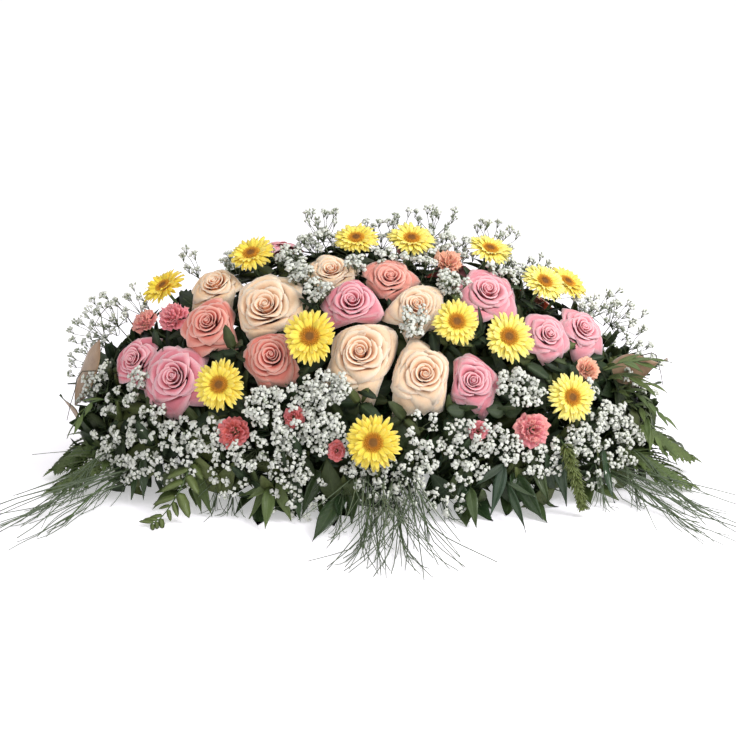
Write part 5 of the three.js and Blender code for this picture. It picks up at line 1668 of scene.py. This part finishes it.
def bed_tuft(bunch, across, lean, rng):
    """A tuft of broad leaves round the end of its own twig, just under the faces of the blooms."""
    point, slope = on_mound(across, lean, -20)
    point.z = max(point.z, 22)
    foot = foam_place(point)
    tube(bunch, [foot, point], 1.3, 0.9, looks(tone=0.3))
    outward = (slope + (point - foot).normalized()).normalized()
    for k in range(6):
        direction = sideways(outward, 1.1 * k + rng.uniform(-0.3, 0.3)) + outward * rng.uniform(-0.1, 0.3)
        broad_leaf(bunch, point, direction, outward, rng.uniform(44, 64), rng)


def under_lip(root, direction, length, rng):
    """Whether a bed leaf would hang into the gap between the lip of the mound and the floor, where few do."""
    lowest = LIP_GAP if root.y < LIP_FRONT else 2
    return root.z + direction.z * length < lowest and (root.z < 4 or rng.random() < LIP_KEPT_CLEAR)


def broad_leaf(bunch, root, direction, upward, length, rng):
    """One broad dark leaf, left out where it would cut into a bloom or the floor."""
    direction = direction.normalized()
    if across_bloom(root, direction, length) or root.z + direction.z * length < 2:
        return
    if under_lip(root, direction, length, rng):
        return
    width = length * rng.uniform(0.42, 0.54)
    points = leaf_points(length, width, rng.uniform(0, 0.2), rng.uniform(0.1, 0.4), 0.8, BROAD_LEAF)
    look = looks(rng.random() ** 3, rng.uniform(0.1, 0.7))
    bunch.lay(BROAD_LEAF, points, laid_along(root, direction, upward), look, "bed")


def foam_place(point):
    """Where a bed twig that ends at a point goes into the foam."""
    x, y = (max(-half, min(half, place)) for half, place in zip(FOAM_REACH, (point.x * 0.55, point.y * 0.2)))
    return Vector((x, y, 80 if point.z > 110 else 62))


def bed_foliage(bunch, node, settings, rng):
    """Dark tufts and leafy twigs that fill the mound under the blooms, from the foam to under their faces."""
    for across, lean in BED_PLACES[node]:
        bed_tuft(bunch, across, lean, rng)
    low_across, high_across, low_lean, high_lean, part = BED_PARTS[node]
    for k in range(round(part * settings.greenery.bed_twigs)):
        across, lean = rng.uniform(low_across, high_across), rng.uniform(low_lean, high_lean)
        if k % 2 == 0:
            inner, slope = on_mound(across, lean, -rng.uniform(22, 58))
            inner.z = max(inner.z, 12)
            aside = sideways(slope, rng.uniform(0, math.tau))
            tube(bunch, [foam_place(inner), inner], 1.2, 0.8, looks(tone=0.3))
            for side in (1, -1):
                broad_leaf(bunch, inner, aside * side + slope * 0.2, slope, rng.uniform(50, 66), rng)
        bed_twig(bunch, across, lean, rng)


def bed_twig(bunch, across, lean, rng):
    """A twig with small pointed leaves all round its outer half."""
    tip, slope = on_mound(across, lean, -rng.uniform(4, 30))
    tip.z = max(tip.z, rng.uniform(4, 16))
    foot = foam_place(tip)
    bend = foot.lerp(tip, 0.55) + UP * rng.uniform(4, 22)
    line = tube(bunch, [foot, bend, tip], 1.3, 0.6, looks(tone=0.3))
    leaf_tone = rng.uniform(0.1, 0.75)
    for k in range(TWIG_LEAVES):
        root, along = on_line(line, 0.42 + 0.58 * (k + rng.random()) / TWIG_LEAVES, at_point=True)
        aside = sideways(along, GOLDEN_ANGLE * k + rng.random())
        direction = (along * rng.uniform(0.5, 1.0) + aside).normalized()
        length = rng.uniform(24, 44)
        if across_bloom(root, direction, length):
            continue
        if root.y < LIP_FRONT and under_lip(root, direction, length, rng):
            continue
        upward = slope + Vector([rng.uniform(-0.5, 0.5) for _ in range(3)])
        width = length * rng.uniform(0.34, 0.5)
        points = small_leaf_points(length, width, rng.uniform(0, 0.25), rng.uniform(0.05, 0.5))
        tone = min(max(leaf_tone + rng.uniform(-0.2, 0.2), 0), 1)
        look = looks(rng.random() ** 3, tone)
        bunch.lay(SMALL_LEAF, points, laid_along(root, direction, upward), look, "bed")


# A small-leaved sprig, a foxtail frond, round leaves and bare twigs: places in mm
SPRIG_LINE = [(-190, -140, 60), (-216, -196, 66), (-234, -232, 34), (-252, -250, 10), (-266, -266, 4)]
FOXTAIL_LINE = [(230, -110, 60), (244, -190, 86), (256, -220, 54), (268, -228, 12)]
ROUND_LEAVES = [((112, -150, 110), (124, -222, 138)), ((170, -140, 112), (170, -214, 134))]
SPRIG_LEAVES = 15
FOXTAIL_NEEDLES = 420
BARE_TWIGS = {
    "magnolia_left": [
        [(-262, -14, 100), (-330, -20, 216), (-350, -30, 222), (-366, -40, 200)],
        [(-262, -20, 90), (-366, -80, 150), (-388, -88, 118), (-398, -92, 84)],
    ],
    "magnolia_right": [[(262, -14, 100), (372, -36, 160), (390, -40, 148), (398, -42, 118)]],
}


def leafy_sprig(bunch, rng):
    """The sprig of small olive leaves that hangs over the lip, the lower ones smaller."""
    line = tube(bunch, SPRIG_LINE, 1.4, 0.5, looks(tone=0.5), shape=RIB)
    for k in range(SPRIG_LEAVES):
        root, along = on_line(line, 0.3 + 0.7 * k / (SPRIG_LEAVES - 1), at_point=True)
        side = along.cross(Vector((0, -0.6, 1))).normalized() * (1 if k % 2 else -1)
        length = rng.uniform(13, 21) if k > 5 else rng.uniform(26, 40)
        points = small_leaf_points(length, length * 0.42, 0.15, 0.2)
        matrix = laid_along(root, side + along * 0.8, Vector((0, -0.5, 1)))
        bunch.lay(SMALL_LEAF, points, matrix, looks(0.6, rng.uniform(0.3, 0.7)), "olive")


def foxtail(bunch, rng):
    """The foxtail frond: a stem thickly set with short needles."""
    line = tube(bunch, FOXTAIL_LINE, 1.4, 0.6, looks(tone=0.5), shape=RIB)
    for k in range(FOXTAIL_NEEDLES):
        share = 0.4 + 0.6 * k / FOXTAIL_NEEDLES
        root, along = on_line(line, share, at_point=True)
        points = small_leaf_points(rng.uniform(12, 19) * (1.2 - 0.5 * share), 3.2, 0.2, 0.2, 0.8)
        direction = sideways(along, GOLDEN_ANGLE * k) + along * rng.uniform(0.7, 1.6)
        bunch.lay(SMALL_LEAF, points, laid_along(root, direction), looks(1, rng.uniform(0.6, 1.0)), "olive")


def round_leaves(bunch, rng):
    """Dusky round leaves in threes under the roses of the right half."""
    points = leaf_points(24, 23, 0.05, 0.08, blunt=0.8, fine=0.7)
    for ends in ROUND_LEAVES:
        line = tube(bunch, ends, 1.3, 0.8, looks(tone=0.5))
        for place, direction in zip(line[12::5], ((1, -0.3, 0.2), (-1, -0.3, 0.2), (0, -0.6, 0.4))):
            matrix = laid_along(Vector(place), Vector(direction), Vector((0, -0.8, 0.6)))
            bunch.add(LEAF, moved(points, matrix), looks(0.1, rng.uniform(0.5, 0.8)), "bed")


ACCENTS = {
    "leafy_stems_front_left": (leafy_sprig,),
    "leafy_stems_front_right": (foxtail, round_leaves),
}


# Stage


# Half the floor's width and where the lamps aim (m), and each lamp's place and size (m)
FLOOR_HALF = 300
LAMP_AIM = Vector((0, 0, 0.12))
KEY_LAMP = ((1.35, -0.8, 1.6), 0.9)
FILL_LAMP = ((-0.4, -2.2, 1.3), 2.2)
TOP_LAMP = ((0.5, 0.9, 2.4), 1.6)
# The photograph's view: distance and height of what is looked at (m), angle downwards, lens and sensor (mm)
CAMERA_DISTANCE = 1.98
AIM_HEIGHT = 0.131
LOOK_DOWN = math.radians(15)
LENS = 70.43
SENSOR = 36


def lay_floor(colour):
    """A pale matt floor that runs to the horizon, a little darker in clouds."""
    bm = bmesh.new()
    bmesh.ops.create_grid(bm, x_segments=1, y_segments=1, size=FLOOR_HALF)
    mesh = bpy.data.meshes.new("floor")
    bm.to_mesh(mesh)
    bm.free()
    material, tree, shader = new_finish("pale_matt_floor", {
        "Roughness": 0.9, "Specular IOR Level": 0.1, "Emission Color": (1, 1, 1, 1), "Emission Strength": 0.4,
    })
    place = add_node(tree, "ShaderNodeTexCoord").outputs["Object"]
    clouds = add_node(tree, "ShaderNodeTexNoise", {"Vector": place, "Scale": 2})
    tint = add_node(
        tree, "ShaderNodeValToRGB", {0: clouds.outputs[0]},
        stops=[(0.3, darker(colour, 0.985)), (0.7, colour)],
    )
    tree.links.new(tint.outputs[0], shader.inputs["Base Color"])
    mesh.materials.append(material)
    floor = linked("floor", mesh)


def hang_lamp(name, place, size, power):
    """A square lamp that shines on the spray."""
    data = bpy.data.lights.new(name, "AREA")
    data.size = size
    data.energy = power
    lamp = linked(name, data)
    lamp.location = place
    lamp.rotation_euler = (LAMP_AIM - lamp.location).to_track_quat("-Z", "Y").to_euler()


def stage(settings):
    """A pale floor, soft lamps and white surroundings, and the camera at the photograph's angle."""
    lay_floor(settings.floor[:])
    hang_lamp("key_lamp", *KEY_LAMP, settings.key_power)
    hang_lamp("fill_lamp", *FILL_LAMP, settings.fill_power)
    hang_lamp("top_lamp", *TOP_LAMP, settings.fill_power)

    world = bpy.data.worlds.new("white_surroundings")
    world.use_nodes = True
    background = world.node_tree.nodes["Background"]
    background.inputs["Color"].default_value = (1, 1, 1, 1)
    background.inputs["Strength"].default_value = settings.sky
    bpy.context.scene.world = world
    bpy.context.scene.view_settings.view_transform = "Standard"

    data = bpy.data.cameras.new("camera")
    data.sensor_width = SENSOR
    data.lens = LENS
    data.clip_end = 1000
    camera = linked("camera", data)
    behind, above = math.cos(LOOK_DOWN) * CAMERA_DISTANCE, math.sin(LOOK_DOWN) * CAMERA_DISTANCE
    camera.location = (0, -behind, AIM_HEIGHT + above)
    camera.rotation_euler = (math.pi / 2 - LOOK_DOWN, 0, 0)
    bpy.context.scene.camera = camera


# Operators


class SPRAY_OT_holder(bpy.types.Operator):
    """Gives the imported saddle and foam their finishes"""

    bl_idname = "spray.holder"
    bl_label = "Saddle and Foam"

    def execute(self, context):
        colours = context.scene.casket_spray.holder
        finishes = {"saddle": moulded_plastic(colours.plastic[:]), "foam": wet_foam(colours.foam[:])}
        for node, material in finishes.items():
            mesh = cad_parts[node].data
            mesh.materials.clear()
            mesh.materials.append(material)
        return {"FINISHED"}


class SPRAY_OT_roses(bpy.types.Operator):
    """Makes the cream, pink and coral roses"""

    bl_idname = "spray.roses"
    bl_label = "Roses"

    def execute(self, context):
        settings = context.scene.casket_spray
        for stock in ("cream", "pink", "coral"):
            colours = [getattr(settings.roses, stock + part)[:] for part in ("", "_heart", "_rim")]
            skin = petal_skin(f"{stock}_rose_petal", *colours)
            for bloom in BLOOMS:
                if bloom.node.startswith(f"rose_{stock}_"):
                    rose(bloom, skin, settings)
        return {"FINISHED"}


class SPRAY_OT_gerberas(bpy.types.Operator):
    """Makes the yellow gerberas"""

    bl_idname = "spray.gerberas"
    bl_label = "Gerberas"

    def execute(self, context):
        settings = context.scene.casket_spray
        colours = settings.gerberas
        petal, disc, eye = colours.petal[:], colours.disc[:], colours.eye[:]
        stops = [(0.0, eye), (1.0, blended(disc, petal, 0.35)), (0.38, eye), (0.62, disc)]
        finishes = {
            "petal": ray_skin("yellow_gerbera_petal", petal, colours.pale_lit_petal[:], colours.petal_root[:]),
            "disc": share_skin("gerbera_disc", stops, 0.3, {"Roughness": 0.8, "Specular IOR Level": 0.2}),
            **skins(settings),
        }
        for bloom in BLOOMS:
            if bloom.kind == "gerbera":
                gerbera(bloom, finishes, settings)
        return {"FINISHED"}


class SPRAY_OT_carnations(bpy.types.Operator):
    """Makes the spray carnations"""

    bl_idname = "spray.carnations"
    bl_label = "Spray Carnations"

    def execute(self, context):
        settings = context.scene.casket_spray
        colours = settings.carnations
        stops = [(0.0, colours.coral[:]), (1.0, colours.peach[:]), (0.5, colours.pink[:])]
        skin = share_skin("ruffled_carnation_petal", stops, 0.22, {
            "Roughness": 0.75, "Specular IOR Level": 0.2, "Sheen Weight": 0.2, "Subsurface Weight": 0.2,
            "Subsurface Radius": (1.0, 0.5, 0.4), "Subsurface Scale": 0.003,
        })
        for node in CARNATIONS:
            carnation_spray(node, [bloom for bloom in BLOOMS if bloom.node == node], skin, settings)
        return {"FINISHED"}


class SPRAY_OT_babys_breath(bpy.types.Operator):
    """Makes the baby's breath"""

    bl_idname = "spray.babys_breath"
    bl_label = "Baby's Breath"

    def execute(self, context):
        settings = context.scene.casket_spray
        finishes = breath_skins(settings)
        for node, patches in BREATH_PATCHES.items():
            babys_breath(node, patches, finishes, settings)
        return {"FINISHED"}


class SPRAY_OT_needles(bpy.types.Operator):
    """Makes the long-needled sprays"""

    bl_idname = "spray.needles"
    bl_label = "Needle Sprays"

    def execute(self, context):
        for node in NEEDLE_ROUTES:
            needle_spray(node, context.scene.casket_spray)
        return {"FINISHED"}


class SPRAY_OT_ferns(bpy.types.Operator):
    """Makes the fern fronds"""

    bl_idname = "spray.ferns"
    bl_label = "Ferns"

    def execute(self, context):
        for node in FERN_FRONDS:
            fern(node, context.scene.casket_spray)
        return {"FINISHED"}


class SPRAY_OT_leafy_stems(bpy.types.Operator):
    """Makes the leafy stems, the large leaves of the ends and the bed foliage that they carry"""

    bl_idname = "spray.leafy_stems"
    bl_label = "Leafy Stems"

    def execute(self, context):
        settings = context.scene.casket_spray
        felt = felted_leaf_skin(settings.greenery.felt[:])
        for node in LEAF_ROUTES:
            leafy_stems(node, settings)
        for node in MAGNOLIA_ROUTES:
            magnolia(node, felt, settings)
        return {"FINISHED"}


class SPRAY_OT_stage(bpy.types.Operator):
    """Makes the floor, the light and the camera"""

    bl_idname = "spray.stage"
    bl_label = "Stage"

    def execute(self, context):
        stage(context.scene.casket_spray.stage)
        return {"FINISHED"}


STEPS = [
    SPRAY_OT_holder, SPRAY_OT_roses, SPRAY_OT_gerberas, SPRAY_OT_carnations, SPRAY_OT_babys_breath,
    SPRAY_OT_needles, SPRAY_OT_ferns, SPRAY_OT_leafy_stems, SPRAY_OT_stage,
]


class SPRAY_PT_panel(bpy.types.Panel):
    """Lists the spray's settings and the steps that make it"""

    bl_idname = "SPRAY_PT_panel"
    bl_label = "Casket Spray"
    bl_space_type = "VIEW_3D"
    bl_region_type = "UI"
    bl_category = "Spray"

    def draw(self, context):
        settings = context.scene.casket_spray
        for group in SpraySettings.__annotations__:
            box = self.layout.box()
            box.label(text=group.capitalize())
            values = getattr(settings, group)
            for setting in type(values).__annotations__:
                box.prop(values, setting)
        for step in STEPS:
            self.layout.operator(step.bl_idname)


CLASSES = [
    RoseSettings, GerberaSettings, CarnationSettings, BreathSettings, GreenerySettings, HolderSettings,
    StageSettings, SpraySettings, *STEPS, SPRAY_PT_panel,
]


def register():
    for cls in CLASSES:
        bpy.utils.register_class(cls)
    bpy.types.Scene.casket_spray = PointerProperty(type=SpraySettings)


def unregister():
    del bpy.types.Scene.casket_spray
    for cls in reversed(CLASSES):
        bpy.utils.unregister_class(cls)


def main():
    register()
    bpy.ops.spray.holder()
    bpy.ops.spray.roses()
    bpy.ops.spray.gerberas()
    bpy.ops.spray.carnations()
    bpy.ops.spray.babys_breath()
    bpy.ops.spray.needles()
    bpy.ops.spray.ferns()
    bpy.ops.spray.leafy_stems()
    bpy.ops.spray.stage()


if __name__ == "__main__":
    main()
